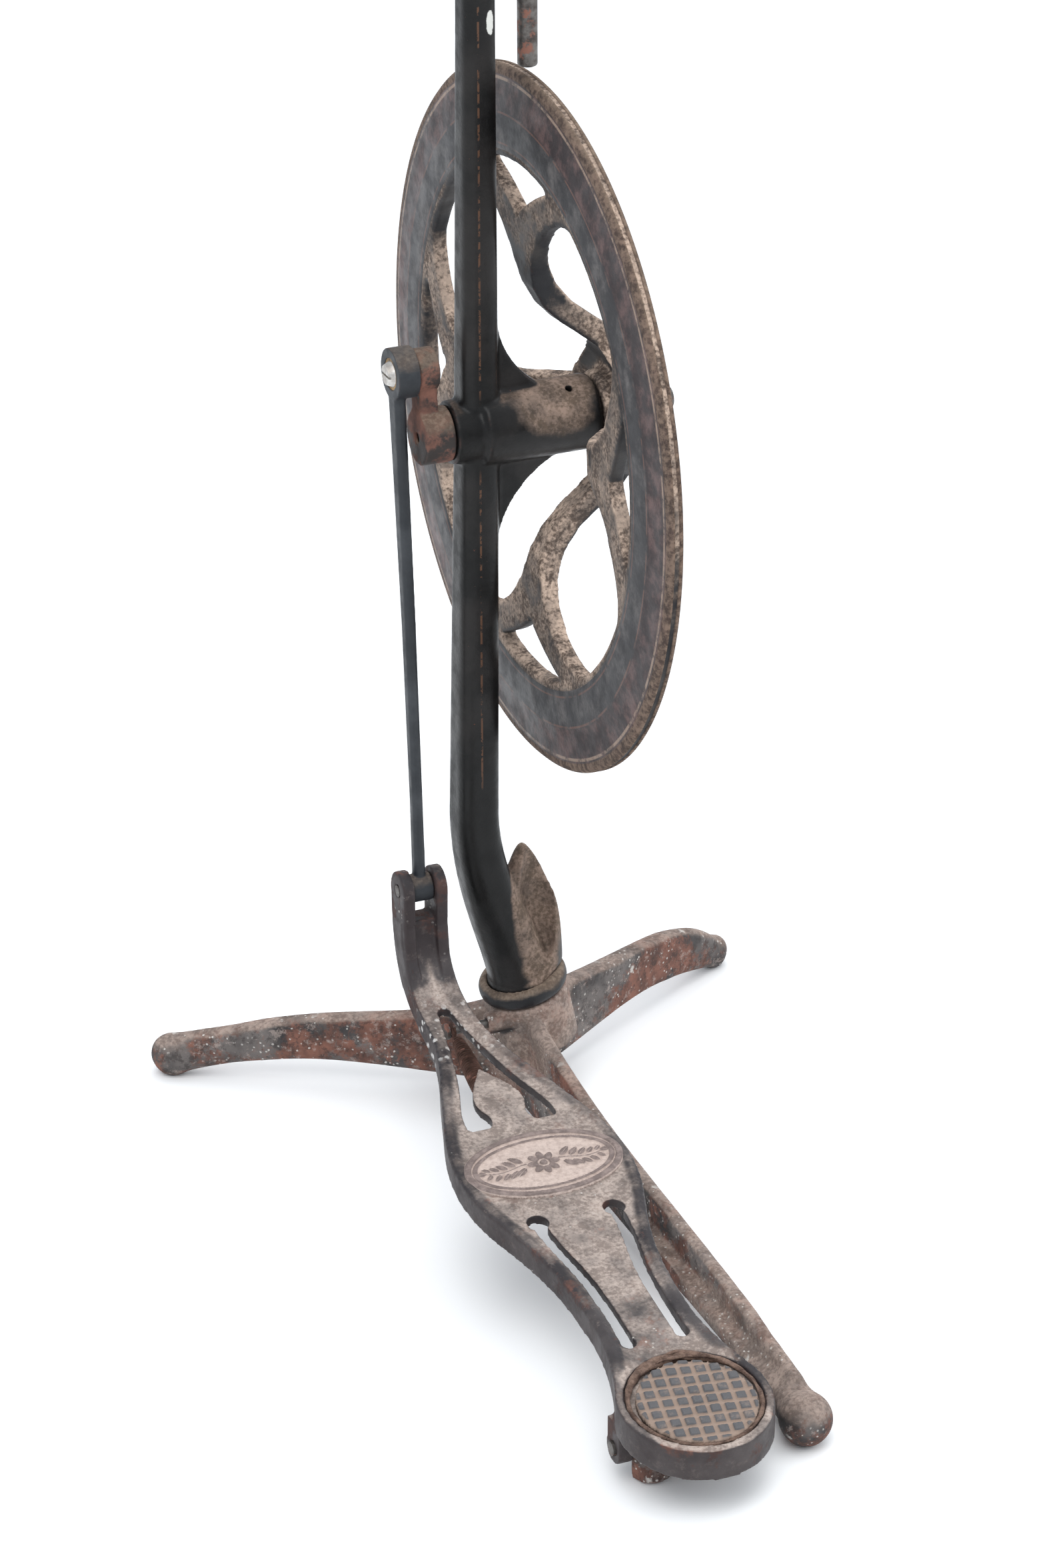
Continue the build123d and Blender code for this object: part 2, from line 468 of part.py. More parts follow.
def medallion():
    """Oval relief on the widest part of the deck: a beaded border, a rosette and two leaf sprays."""
    plane = Plane(origin=(ROD_X, -153, deck_z(-153)), x_dir=PAD_PLANE.x_dir, z_dir=PAD_PLANE.z_dir)
    plate = extrude(Ellipse(34, 20), amount=0.8)
    border = extrude(Ellipse(34, 20) - Ellipse(31, 17.1), amount=1.6)
    rosette = extrude(Circle(3.2), amount=2.0)
    for k in range(8):
        rosette += extrude(Rot(0, 0, 45 * k) * Pos(5.6, 0) * Ellipse(3.4, 1.7), amount=1.6)
    sprays = None
    for side in (-1, 1):
        for x, y, turn in ((14, 3.8, 38), (14, -3.8, -38), (20, 3.4, 30), (20, -3.4, -30), (25.5, 0, 0)):
            leaf = extrude(Pos(side * x, y) * Rot(0, 0, side * turn) * Ellipse(3.6, 1.5), amount=1.5)
            sprays = leaf if sprays is None else sprays + leaf
    sprays += extrude(Rectangle(48, 0.9), amount=1.3)
    return plane * (plate + border + rosette + sprays)


def heel_pad():
    """Ribbed rubber disc lying in the pad recess."""
    pad = Cylinder(25.6, 4.2, align=(Align.CENTER, Align.CENTER, Align.MIN))
    pitch, groove = 5.95, 1.4
    for k in range(-4, 5):
        pad -= Pos((k + 0.5) * pitch, 0, 4.2) * Box(groove, 60, 2.4)
        pad -= Pos(0, (k + 0.5) * pitch, 4.2) * Box(60, groove, 2.4)
    return PAD_PLANE * Pos(0, -0.8, -2.6) * Rot(0, 0, -9) * pad


def pad_bed():
    """Fibrous packing between the pad and the edge of its recess."""
    low = Cylinder(27.95, 3.4, align=(Align.CENTER, Align.CENTER, Align.MIN))
    gap = Pos(0, -0.8, -1) * Cylinder(25.7, 9, align=(Align.CENTER, Align.CENTER, Align.MIN))
    return PAD_PLANE * Pos(0, 0, -2.6) * (low - gap)


def clevis_pin():
    half = EAR_GAP / 2 + EAR_T
    return rod_x(CLEVIS_PIN_R, ROD_X - half, ROD_X + half, CLEVIS_Y, CLEVIS_Z)


def fulcrum_pin():
    return rod_x(FULCRUM_R, EAR_L[0] - 1, EAR_R[1] + 1, PIN_Y, PIN_Z)


def treadle_spring():
    """Barrel-shaped close-coiled spring with a ring hook at each end."""
    line = SPRING_B - SPRING_A
    plane = Plane(origin=tuple(SPRING_A), x_dir=(1, 0, 0), z_dir=tuple(line))
    length = line.length
    pts = [(0, 12), (0.9, 12), (2.6, 15), (4.0, 24), (4.3, length / 2), (4.0, length - 26),
           (2.6, length - 17), (0.9, length - 14), (0, length - 14)]
    barrel = revolve(make_face(Polyline(*[(r, 0, z) for r, z in pts], close=True)), Axis.Z, 360)
    wires = Pos(0, 0, 2.95) * Cylinder(0.8, 10, align=(Align.CENTER, Align.CENTER, Align.MIN))
    wires += Pos(0, 0, length - 15) * Cylinder(0.8, 7.2, align=(Align.CENTER, Align.CENTER, Align.MIN))
    front = Pos(0, 0, length - 3.9) * Rot(90, 0, 0) * Torus(3.9, 0.8)
    rear = Plane(origin=tuple(SPRING_A), x_dir=(0, 1, 0), z_dir=(1, 0, 0)) * Torus(2.9, 0.8)
    return plane * (barrel + wires + front) + rear


# ---- grinding head -------------------------------------------------------------------------------------
HEAD_X0, HEAD_X1 = -38.0, 2.0
SPINDLE_R, SPINDLE_BUSH_R = 5.0, 8.0
PULLEY_X0, PULLEY_X1, PULLEY_R = HEAD_X1 + FACE, GROOVE_X + 9.0, 21.0
FLANGE_T = 4.0
STONE_X1 = HEAD_X0 - FACE - 6 - FLANGE_T
STONE_X0 = STONE_X1 - STONE_W
GUIDE_X = GROOVE_X - 1.0     # the hanging rod stands over the rim
HANG_R = 4.2
HANG_Z0 = AXLE_Z + WHEEL_R + 4.5


def head_casting():
    """Cap on the column's top with the spindle barrel, the guide arm and the tool-rest arm's boss."""
    cap = section(25, 28, 7, Plane(origin=(COLUMN_X, 0, COLUMN_TOP - 26)))
    body = extrude(cap, amount=36)
    body += loft([section(25, 28, 7, Plane(origin=(COLUMN_X, 0, COLUMN_TOP + 10))),
                  section(20, 16, 6, Plane(origin=(COLUMN_X, 0, SPINDLE_Z - 6)))])
    body += rod_x(14, HEAD_X0, HEAD_X1, 0, SPINDLE_Z)
    body += rod_x(8, COLUMN_X + 9, GUIDE_X - 3, 0, COLUMN_TOP - 19)
    body += rod_z(9, COLUMN_TOP - 26, COLUMN_TOP - 9, GUIDE_X, 0)
    body += box(COLUMN_X - 7, COLUMN_X + 7, -36, -8, COLUMN_TOP - 14, COLUMN_TOP + 4)
    body -= loft([shaft_section(COLUMN_TOP - 60, SEAT), shaft_section(COLUMN_TOP, SEAT)])
    body -= rod_x(SPINDLE_BUSH_R + SEAT, HEAD_X0 - 1, HEAD_X1 + 1, 0, SPINDLE_Z)
    body -= rod_z(HANG_R + RUN, COLUMN_TOP - 40, COLUMN_TOP, GUIDE_X, 0)
    body -= rod_x(2.5 + SEAT, COLUMN_X - 30, COLUMN_X - 5, 0, COLUMN_TOP - 12)
    body -= rod_z(5 + SEAT, COLUMN_TOP - 20, COLUMN_TOP + 10, COLUMN_X, -28)
    return body - Pos(GUIDE_X, 0, COLUMN_TOP - 17.5) * Rot(90, 0, 0) * rod_z(2.0 + SEAT, 0, 20, 0, 0)


def head_screw():
    screw = rod_x(2.5, COLUMN_X - 12.5, COLUMN_X - 2, 0, COLUMN_TOP - 12)
    return screw + rod_x(4.6, COLUMN_X - 15.5, COLUMN_X - 12.5, 0, COLUMN_TOP - 12)


def guide_screw():
    """Thumb screw that bears on the hanging rod."""
    plane = Plane(origin=(GUIDE_X, -HANG_R - 0.1, COLUMN_TOP - 17.5), x_dir=(1, 0, 0), z_dir=(0, -1, 0))
    shank = Cylinder(2.0, 9, align=(Align.CENTER, Align.CENTER, Align.MIN))
    wing = Pos(0, 0, 12) * Box(14, 2.6, 8)
    wing &= Pos(0, 0, 12) * Rot(90, 0, 0) * Cylinder(7, 6)
    return plane * (shank + Pos(0, 0, 6.5) * Cylinder(3.6, 3) + wing)


def spindle_bush(x0, x1):
    return rod_x(SPINDLE_BUSH_R, x0, x1, 0, SPINDLE_Z) - rod_x(SPINDLE_R + RUN, x0 - 1, x1 + 1, 0, SPINDLE_Z)


def spindle():
    """Shaft with a shoulder collar next to the stone's inner flange and a threaded nose."""
    collar = rod_x(7.5, HEAD_X0 - FACE - 6, HEAD_X0 - FACE, 0, SPINDLE_Z)
    nose = rod_x(4.5, STONE_X0 - FLANGE_T - 11, HEAD_X0 - FACE - 6, 0, SPINDLE_Z)
    return rod_x(SPINDLE_R, HEAD_X0 - FACE, PULLEY_X1 + 1.5, 0, SPINDLE_Z) + collar + nose


def flange(x0, x1, wide_first):
    a, b = (17.0, 14.0) if wide_first else (14.0, 17.0)
    return rod_x(a, x0, x1, 0, SPINDLE_Z, b) - rod_x(4.5 + SEAT, x0 - 1, x1 + 1, 0, SPINDLE_Z)


def grindstone():
    stone = rod_x(STONE_D / 2, STONE_X0, STONE_X1, 0, SPINDLE_Z)
    stone = chamfer(stone.edges().filter_by(GeomType.CIRCLE), 0.8)
    return stone - rod_x(4.5 + SEAT, STONE_X0 - 1, STONE_X1 + 1, 0, SPINDLE_Z)


def spindle_nut():
    x1 = STONE_X0 - FLANGE_T
    nut = hexagon_x(15, x1 - 7, x1, 0, SPINDLE_Z) & rod_x(8.2, x1 - 7, x1, 0, SPINDLE_Z)
    return nut - rod_x(4.5 + SEAT, x1 - 8, x1 + 1, 0, SPINDLE_Z)


def pulley():
    """Small grooved wheel in the flywheel's plane, with a short boss for its set screw."""
    mid = GROOVE_X
    points = [(SPINDLE_R + SEAT, PULLEY_X0), (PULLEY_R - 6, PULLEY_X0), (PULLEY_R, mid - 5),
              (PULLEY_R, mid - 3.8), (PULLEY_R - 5, mid), (PULLEY_R, mid + 3.8), (PULLEY_R, mid + 5),
              (SPINDLE_R + SEAT, mid + 5)]
    face = make_face(Polyline(*[(x, 0, SPINDLE_Z + r) for r, x in points], close=True))
    wheel = revolve(face, Axis((0, 0, SPINDLE_Z), (1, 0, 0)), 360)
    boss = rod_x(9, mid + 5, PULLEY_X1 + 4, 0, SPINDLE_Z) - rod_x(SPINDLE_R + SEAT, mid, 40, 0, SPINDLE_Z)
    return wheel + boss - rod_z(1.5 + SEAT, SPINDLE_Z, SPINDLE_Z + 12, mid + 9, 0)


def pulley_screw():
    return rod_z(1.5, SPINDLE_Z + SPINDLE_R + 0.1, SPINDLE_Z + 9, GROOVE_X + 9, 0)


def hanging_rod():
    rod = rod_z(HANG_R, HANG_Z0, COLUMN_TOP + 2, GUIDE_X, 0)
    return fillet(rod.edges().filter_by(GeomType.CIRCLE), 1.2)


def rod_knob():
    return rod_z(7.5, COLUMN_TOP + 2, COLUMN_TOP + 9, GUIDE_X, 0)


REST_X = (STONE_X0 + STONE_X1) / 2
REST_Y = -STONE_D / 2 - 2.0


def rest_post():
    """Round post in the head's boss that carries the tool-rest arm."""
    return rod_z(5, COLUMN_TOP - 14, SPINDLE_Z - 14, COLUMN_X, -28)


def rest_arm():
    """Flat arm from the post to the tool rest in front of the stone."""
    z0, z1 = SPINDLE_Z - 22, SPINDLE_Z - 14
    arm = rod_z(9, z0, z1, COLUMN_X, -28)
    plan = [(COLUMN_X, -37), (COLUMN_X, -21), (COLUMN_X - 12, -36), (REST_X + 7, REST_Y - 4),
            (REST_X - 7, REST_Y - 4), (REST_X - 7, REST_Y - 14), (REST_X + 9, REST_Y - 14)]
    arm += extrude(make_face(Polyline(*[(x, y, z0) for x, y in plan], close=True)), amount=z1 - z0)
    arm += box(REST_X - 7, REST_X + 7, REST_Y - 14, REST_Y - 4, z0, SPINDLE_Z - 7)
    return arm - rod_z(5 + SEAT, z0 - 1, z1 + 1, COLUMN_X, -28)


def rest_plate():
    plate = box(REST_X - 16, REST_X + 16, REST_Y - 20, REST_Y, SPINDLE_Z - 7, SPINDLE_Z - 3)
    return plate


PARTS = {
    "tripod_base": tripod_base, "socket_collar": socket_collar, "column": column,
    "spring_anchor": spring_anchor, "fulcrum_pin": fulcrum_pin,
    "axle_bush_left": lambda: axle_bush(BOSS_X0, BOSS_X0 + 16),
    "axle_bush_right": lambda: axle_bush(BOSS_X1 - 18, BOSS_X1 + FACE),
    "flywheel": flywheel, "axle": axle, "hub_washer": hub_washer, "hub_nut": hub_nut,
    "crank_arm": crank_arm, "crank_set_screw": crank_set_screw,
    "connecting_rod": connecting_rod, "rod_eye_bush": rod_eye_bush, "crank_pin_screw": crank_pin_screw,
    "treadle": treadle, "treadle_medallion": medallion, "heel_pad": heel_pad, "pad_bed": pad_bed,
    "clevis_pin": clevis_pin, "treadle_spring": treadle_spring,
    "head_casting": head_casting, "head_screw": head_screw, "guide_screw": guide_screw,
    "spindle_bush_left": lambda: spindle_bush(HEAD_X0, HEAD_X0 + 12),
    "spindle_bush_right": lambda: spindle_bush(HEAD_X1 - 12, HEAD_X1),
    "spindle": spindle, "inner_flange": lambda: flange(STONE_X1, STONE_X1 + FLANGE_T, True),
    "grindstone": grindstone, "outer_flange": lambda: flange(STONE_X0 - FLANGE_T, STONE_X0, False),
    "spindle_nut": spindle_nut, "pulley": pulley, "pulley_screw": pulley_screw,
    "hanging_rod": hanging_rod, "rod_knob": rod_knob,
    "rest_post": rest_post, "rest_arm": rest_arm, "rest_plate": rest_plate,
}


def main():
    solids = {name: make() for name, make in PARTS.items()}
    whole = Compound(children=[Compound(s.solids()) for s in solids.values()]).bounding_box()
    shift = Pos(-whole.center().X, -whole.center().Y, -whole.min.Z)
    for name, solid in solids.items():
        solid.label = name
        pieces = solid.solids()
        export_step(shift * (Compound(pieces) if len(pieces) > 1 else pieces[0]), f"parts/{name}.step")
    print("shift", round(-whole.center().X, 4), round(-whole.center().Y, 4), round(-whole.min.Z, 4))
    print("box", whole.size)


main()
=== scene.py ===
"""Looks of the treadle grindstone stand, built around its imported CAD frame."""
import json
import math
import random

import bpy
import numpy as np
from mathutils import Matrix, Vector


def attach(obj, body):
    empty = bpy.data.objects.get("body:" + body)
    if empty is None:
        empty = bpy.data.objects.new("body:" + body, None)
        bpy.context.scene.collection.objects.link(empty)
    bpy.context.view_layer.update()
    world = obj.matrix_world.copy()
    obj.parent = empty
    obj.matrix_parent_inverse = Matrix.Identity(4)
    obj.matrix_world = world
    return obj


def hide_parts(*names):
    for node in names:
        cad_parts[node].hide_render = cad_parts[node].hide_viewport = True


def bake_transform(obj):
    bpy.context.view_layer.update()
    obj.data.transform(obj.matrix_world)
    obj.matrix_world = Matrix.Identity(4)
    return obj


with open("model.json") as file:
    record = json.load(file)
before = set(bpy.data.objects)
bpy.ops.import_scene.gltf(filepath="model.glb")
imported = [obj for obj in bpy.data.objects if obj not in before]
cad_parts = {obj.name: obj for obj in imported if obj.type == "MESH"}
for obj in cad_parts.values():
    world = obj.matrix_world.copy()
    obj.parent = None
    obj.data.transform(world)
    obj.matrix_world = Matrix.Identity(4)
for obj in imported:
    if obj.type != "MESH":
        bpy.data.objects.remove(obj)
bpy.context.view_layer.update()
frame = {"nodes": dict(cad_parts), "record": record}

MM = 0.001
JOINT = {j["name"]: j["pos_m"] for j in frame["record"]["behaviour"]["joints"] if "pos_m" in j}
AXLE = Vector(JOINT["wheel_spin"])
PIN = Vector(JOINT["treadle_rock"])
SHIFT = Vector((AXLE.x, AXLE.y, 0))      # the socket's axis on the floor
SLOPE = math.radians(8.2)                # of the treadle's deck
PAD = PIN + Vector((0, -10, 22)) * MM    # middle of the pad disc's top
DECK_X = PIN.x
TREADLE_X = round((PIN.x - SHIFT.x) / MM, 3)


def place(x, y, z):
    """Point in millimetres from the foot of the socket's axis."""
    return SHIFT + Vector((x, y, z)) * MM


def deck_point(x, along, up):
    """Point on the sloping deck: millimetres across, along the deck from the pad's middle, and above it."""
    c, s = math.cos(SLOPE), math.sin(SLOPE)
    return PAD + Vector((x, along * c - up * s, along * s + up * c)) * MM


# ---- materials ---------------------------------------------------------------------------------------
class Net:
    """Short ways to wire a shader."""

    def __init__(self, name):
        self.mat = bpy.data.materials.new(name)
        self.mat.use_nodes = True
        self.tree = self.mat.node_tree
        self.bsdf = self.tree.nodes["Principled BSDF"]
        self.coord = self.new("ShaderNodeTexCoord")

    def new(self, kind, **values):
        node = self.tree.nodes.new(kind)
        for key, value in values.items():
            setattr(node, key, value)
        return node

    def put(self, value, socket):
        if isinstance(value, bpy.types.NodeSocket):
            self.tree.links.new(value, socket)
        elif isinstance(value, tuple) and len(value) == 3 and socket.type == "RGBA":
            socket.default_value = (*value, 1.0)
        else:
            socket.default_value = value

    def noise(self, size, detail=4.0, rough=0.55, stretch=(1, 1, 1), seed=0.0):
        """Noise with features of about size millimetres."""
        m = self.new("ShaderNodeMapping")
        m.inputs["Location"].default_value = (seed, seed * 0.7, -seed)
        m.inputs["Scale"].default_value = stretch
        self.tree.links.new(self.coord.outputs["Object"], m.inputs["Vector"])
        n = self.new("ShaderNodeTexNoise")
        n.inputs["Scale"].default_value = 1000.0 / size
        n.inputs["Detail"].default_value = detail
        n.inputs["Roughness"].default_value = rough
        self.tree.links.new(m.outputs[0], n.inputs["Vector"])
        return n.outputs["Fac"]

    def cells(self, size, seed=0.0):
        """Distance to the nearest of scattered points about size millimetres apart, as a share of size."""
        m = self.new("ShaderNodeMapping")
        m.inputs["Location"].default_value = (seed, -seed, seed)
        self.tree.links.new(self.coord.outputs["Object"], m.inputs["Vector"])
        v = self.new("ShaderNodeTexVoronoi")
        v.inputs["Scale"].default_value = 1000.0 / size
        self.tree.links.new(m.outputs[0], v.inputs["Vector"])
        return v.outputs["Distance"]

    def ramp(self, value, low, high):
        """0 below low, 1 above high, smooth between. high may be the smaller one."""
        n = self.new("ShaderNodeMapRange", interpolation_type="SMOOTHSTEP", clamp=True)
        a, b, x, y = (low, high, 0.0, 1.0) if low < high else (high, low, 1.0, 0.0)
        self.put(value, n.inputs["Value"])
        for name, v in (("From Min", a), ("From Max", b), ("To Min", x), ("To Max", y)):
            n.inputs[name].default_value = v
        return n.outputs["Result"]

    def math(self, op, a, b=0.0):
        n = self.new("ShaderNodeMath", operation=op)
        self.put(a, n.inputs[0])
        self.put(b, n.inputs[1])
        return n.outputs[0]

    def mix(self, fac, a, b):
        n = self.new("ShaderNodeMix", data_type="RGBA")
        self.put(fac, n.inputs[0])
        self.put(a, n.inputs[6])
        self.put(b, n.inputs[7])
        return n.outputs[2]

    def blend(self, fac, a, b):
        n = self.new("ShaderNodeMix", data_type="FLOAT")
        self.put(fac, n.inputs[0])
        self.put(a, n.inputs[2])
        self.put(b, n.inputs[3])
        return n.outputs[0]

    def normal(self, axis):
        sep = self.new("ShaderNodeSeparateXYZ")
        self.tree.links.new(self.coord.outputs["Normal"], sep.inputs[0])
        return sep.outputs["XYZ".index(axis)]

    def position(self, axis):
        sep = self.new("ShaderNodeSeparateXYZ")
        self.tree.links.new(self.coord.outputs["Object"], sep.inputs[0])
        return sep.outputs["XYZ".index(axis)]

    def edges(self):
        """1 on convex edges of a dense mesh."""
        return self.ramp(self.new("ShaderNodeNewGeometry").outputs["Pointiness"], 0.52, 0.60)

    def bump(self, height, depth):
        n = self.new("ShaderNodeBump")
        n.inputs["Distance"].default_value = depth * MM
        n.inputs["Strength"].default_value = 1.0
        self.put(height, n.inputs["Height"])
        return n.outputs[0]

    def done(self, color, rough, metal=0.0, bump=None, spec=0.5):
        self.put(color, self.bsdf.inputs["Base Color"])
        self.put(rough, self.bsdf.inputs["Roughness"])
        self.put(metal, self.bsdf.inputs["Metallic"])
        self.bsdf.inputs["Specular IOR Level"].default_value = spec
        if bump is not None:
            self.tree.links.new(bump, self.bsdf.inputs["Normal"])
        return self.mat


BLACK, SLATE = (0.007, 0.007, 0.008), (0.026, 0.027, 0.030)
PRIMER, RUST = (0.105, 0.048, 0.036), (0.215, 0.098, 0.070)
TAUPE, SOIL, PALE = (0.245, 0.185, 0.138), (0.130, 0.093, 0.068), (0.55, 0.52, 0.48)
STRIPE = (0.13, 0.062, 0.034)
PALE_DUST = (0.47, 0.39, 0.34), (0.23, 0.185, 0.16)


def rusted(n, color, rough, amount, mid, fine):
    """Patches of rust over the paint."""
    patch = n.ramp(n.math("ADD", n.noise(26, 6, 0.68, seed=11.0), n.math("MULTIPLY", fine, 0.16)),
                   0.69 - 0.3 * amount, 0.79 - 0.3 * amount)
    tone = n.mix(n.ramp(mid, 0.3, 0.7), RUST, (0.085, 0.045, 0.036))
    return n.mix(patch, color, tone), n.blend(patch, rough, 0.85)


def chipped(n, amount):
    """1 where the paint is chipped off, along convex edges and in spots."""
    worn = n.math("MULTIPLY", n.edges(), n.ramp(n.noise(6, 5, 0.7, seed=5.0), 0.46, 0.60))
    spots = n.ramp(n.noise(3.4, 5, 0.75, seed=9.0), 0.74 - 0.06 * amount, 0.79 - 0.06 * amount)
    return n.math("MULTIPLY", n.math("MAXIMUM", worn, spots), min(1.0, amount * 1.6))


def dusted(n, color, rough, noises, amount, start, where, soil):
    """Dust on faces that look upward; where() adds to the slope, and start is where the dust begins."""
    broad, mid, fine = noises
    lie = n.math("ADD", n.normal("Z"), n.math("MULTIPLY", n.math("SUBTRACT", mid, 0.5), 0.9))
    lie = n.math("ADD", lie, n.math("MULTIPLY", n.math("SUBTRACT", broad, 0.5), 0.9))
    if where:
        lie = n.math("ADD", lie, where(n))
    up = n.ramp(lie, start, start + 0.55)
    patchy = n.ramp(n.noise(14, 6, 0.7, seed=2.0), 0.30, 0.62)
    film = n.math("MULTIPLY", up, n.blend(patchy, 0.45 * amount, amount))
    speckle = n.math("ADD", n.math("MULTIPLY", fine, 0.5), n.math("MULTIPLY", mid, 0.5))
    light, dark = soil
    color = n.mix(film, color, n.mix(n.ramp(speckle, 0.40, 0.60), light, dark))
    return color, n.blend(film, rough, 0.93)


def specked(n, color, amount):
    """Pale specks of two sizes, in clusters."""
    area = n.ramp(n.noise(30, 3, seed=6.0), 0.62 - 0.2 * amount, 0.72 - 0.2 * amount)
    ragged = n.math("MULTIPLY", n.math("SUBTRACT", n.noise(1.3, 4, 0.8, seed=1.7), 0.5), 0.5)
    small = n.ramp(n.math("ADD", n.cells(3.0, 4.0), ragged), 0.20, 0.12)
    large = n.ramp(n.math("ADD", n.cells(9.0, 8.0), ragged), 0.24, 0.14)
    few = n.ramp(n.noise(17, 3, seed=21.0), 0.50, 0.56)
    dots = n.math("MULTIPLY", n.math("MAXIMUM", small, n.math("MULTIPLY", large, few)), area)
    return n.mix(n.math("MULTIPLY", dots, 0.8), color, PALE)


def iron(name, base=BLACK, second=SLATE, *, mottle, dust, dust_from, chips, gloss, rust=0.0, specks=0.0,
         stripes=None, extra=None, where=None, sheen=0.3, soil=(TAUPE, SOIL)):
    """Old paint on cast iron: mottled enamel, rust, chips to a red primer, dust and pale specks."""
    n = Net(name)
    broad, mid, fine = n.noise(34, 5), n.noise(9, 5, 0.6, seed=3.1), n.noise(1.6, 3, 0.6, seed=7.7)
    color = n.mix(n.math("MULTIPLY", n.ramp(broad, 0.42, 0.66), mottle), base, second)
    rough = n.blend(n.ramp(mid, 0.35, 0.7), gloss, gloss + 0.2)
    if stripes:
        color = stripes(n, color)
    if rust:
        color, rough = rusted(n, color, rough, rust, mid, fine)
    chip = chipped(n, chips)
    color, rough = n.mix(chip, color, PRIMER), n.blend(chip, rough, 0.75)
    if extra:
        color, rough = extra(n, color, rough)
    color, rough = dusted(n, color, rough, (broad, mid, fine), dust, dust_from, where, soil)
    if specks:
        color = specked(n, color, specks)
    grain = n.math("ADD", n.math("MULTIPLY", fine, 0.5), n.math("MULTIPLY", mid, 0.8))
    grain = n.math("SUBTRACT", grain, n.math("MULTIPLY", chip, 0.5))
    return n.done(color, rough, 0.0, n.bump(grain, 0.22), spec=sheen)


def stripe(n, value, middle, outer, inner):
    """1 where value is within inner of middle, 0 beyond outer."""
    return n.ramp(n.math("ABSOLUTE", n.math("SUBTRACT", value, middle)), outer, inner)


def near(n, centre, radii):
    """1 round the centre, falling to 0 at the surface of an ellipsoid."""
    total = None
    for axis, c, r in zip("XYZ", centre, radii):
        d = n.math("DIVIDE", n.math("SUBTRACT", n.position(axis), c), r * MM)
        d = n.math("MULTIPLY", d, d)
        total = d if total is None else n.math("ADD", total, d)
    return n.ramp(total, 1.0, 0.35)


def column_dust(n):
    """More dust on the axle boss, in the horn's hollow and round the foot."""
    boss = n.math("MULTIPLY", near(n, place(14, 0, 325), (30, 30, 21)), 0.85)
    hollow = n.math("MULTIPLY", near(n, place(7, -6, 98), (19, 22, 46)), 1.25)
    foot = n.math("MULTIPLY", near(n, place(0, 0, 62), (30, 30, 16)), 0.45)
    return n.math("ADD", boss, n.math("ADD", hollow, foot))


def deck_edge():
    """The treadle's half width at points along it, both in millimetres, measured on its CAD mesh."""
    node = frame["nodes"]["treadle"]
    points = np.array([node.matrix_world @ v.co for v in node.data.vertices]) / MM
    points -= (DECK_X / MM, SHIFT.y / MM, 0)
    ends = np.array([tuple(e.vertices) for e in node.data.edges])
    first, last = points[ends[:, 0]], points[ends[:, 1]]
    rows = []
    for y in range(-300, -50, 10):
        cut = (first[:, 1] - y) * (last[:, 1] - y) < 0
        p, q = first[cut], last[cut]
        t = (y - p[:, 1]) / (q[:, 1] - p[:, 1])
        rows.append((y, float(np.abs(p[:, 0] + t * (q[:, 0] - p[:, 0])).max())))
    return rows


DECK_EDGE = deck_edge()
CURVE_LENGTH, CURVE_WIDTH = 310, 50      # what 1 stands for along and across the curve below, millimetres


def treadle_rail(n):
    """1 on the deck's outer rails and skirts, 0 inside them."""
    curve = n.new("ShaderNodeFloatCurve")
    points = curve.mapping.curves[0].points
    stations = [((y + CURVE_LENGTH) / CURVE_LENGTH, w / CURVE_WIDTH) for y, w in DECK_EDGE]
    points[0].location, points[1].location = stations[0], stations[-1]
    for station in stations[1:-1]:
        points.new(*station)
    curve.mapping.update()
    along = n.math("SUBTRACT", n.position("Y"), SHIFT.y - CURVE_LENGTH * MM)
    along = n.math("MULTIPLY", along, 1 / (CURVE_LENGTH * MM))
    n.put(along, curve.inputs["Value"])
    across = n.math("ABSOLUTE", n.math("SUBTRACT", n.position("X"), DECK_X))
    inward = n.math("SUBTRACT", n.math("MULTIPLY", curve.outputs[0], CURVE_WIDTH * MM), across)
    return n.ramp(inward, 7.5 * MM, 4.0 * MM)


def treadle_dust(n):
    """Cleaner iron near the pad and on the outer rails, more dust on the neck."""
    rub = n.math("MULTIPLY", near(n, place(TREADLE_X, -262, 42), (60, 26, 40)), -0.28)
    neck = n.math("MULTIPLY", near(n, place(TREADLE_X, -45, 80), (40, 34, 34)), 0.2)
    rail = n.math("MULTIPLY", treadle_rail(n), -0.38)
    return n.math("ADD", rail, n.math("ADD", rub, neck))


def treadle_mould_and_shade(n, color, rough):
    """Pale spots on the neck, darker iron on the rails, and painted shade on the upright side faces."""
    color = n.mix(n.math("MULTIPLY", treadle_rail(n), 0.45), color, (0.030, 0.024, 0.026))
    color = pitting(n, color, 0.22)
    # painted shade: upright side faces, such as the skirts, are darkened toward near-black
    upright_shade = n.ramp(n.math("ABSOLUTE", n.normal("Z")), 0.65, 0.30)
    color = n.mix(n.math("MULTIPLY", upright_shade, 0.6), color, (0.034, 0.024, 0.024))
    ragged = n.math("MULTIPLY", n.noise(1.5, 5, 0.8, seed=4.4), 0.6)
    dots = n.ramp(n.math("ADD", n.cells(4.5, 2.0), ragged), 0.62, 0.50)
    dots = n.math("MULTIPLY", dots, near(n, place(TREADLE_X, -58, 78), (30, 26, 32)))
    return n.mix(n.math("MULTIPLY", dots, 0.85), color, (0.60, 0.585, 0.56)), rough


def pitting(n, color, amount):
    """Small dark pits and light crusts of old rust and dirt."""
    dark = n.ramp(n.noise(5, 6, 0.78, seed=31.0), 0.50, 0.60)
    color = n.mix(n.math("MULTIPLY", dark, amount), color, (0.032, 0.025, 0.023))
    light = n.ramp(n.noise(6, 6, 0.78, seed=37.0), 0.54, 0.66)
    return n.mix(n.math("MULTIPLY", light, amount), color, (0.36, 0.295, 0.262))


def base_pits(n, color, rough):
    """Dark pits, light crusts and a duller surface than the paint's."""
    return pitting(n, color, 0.6), n.blend(0.5, rough, 0.8)


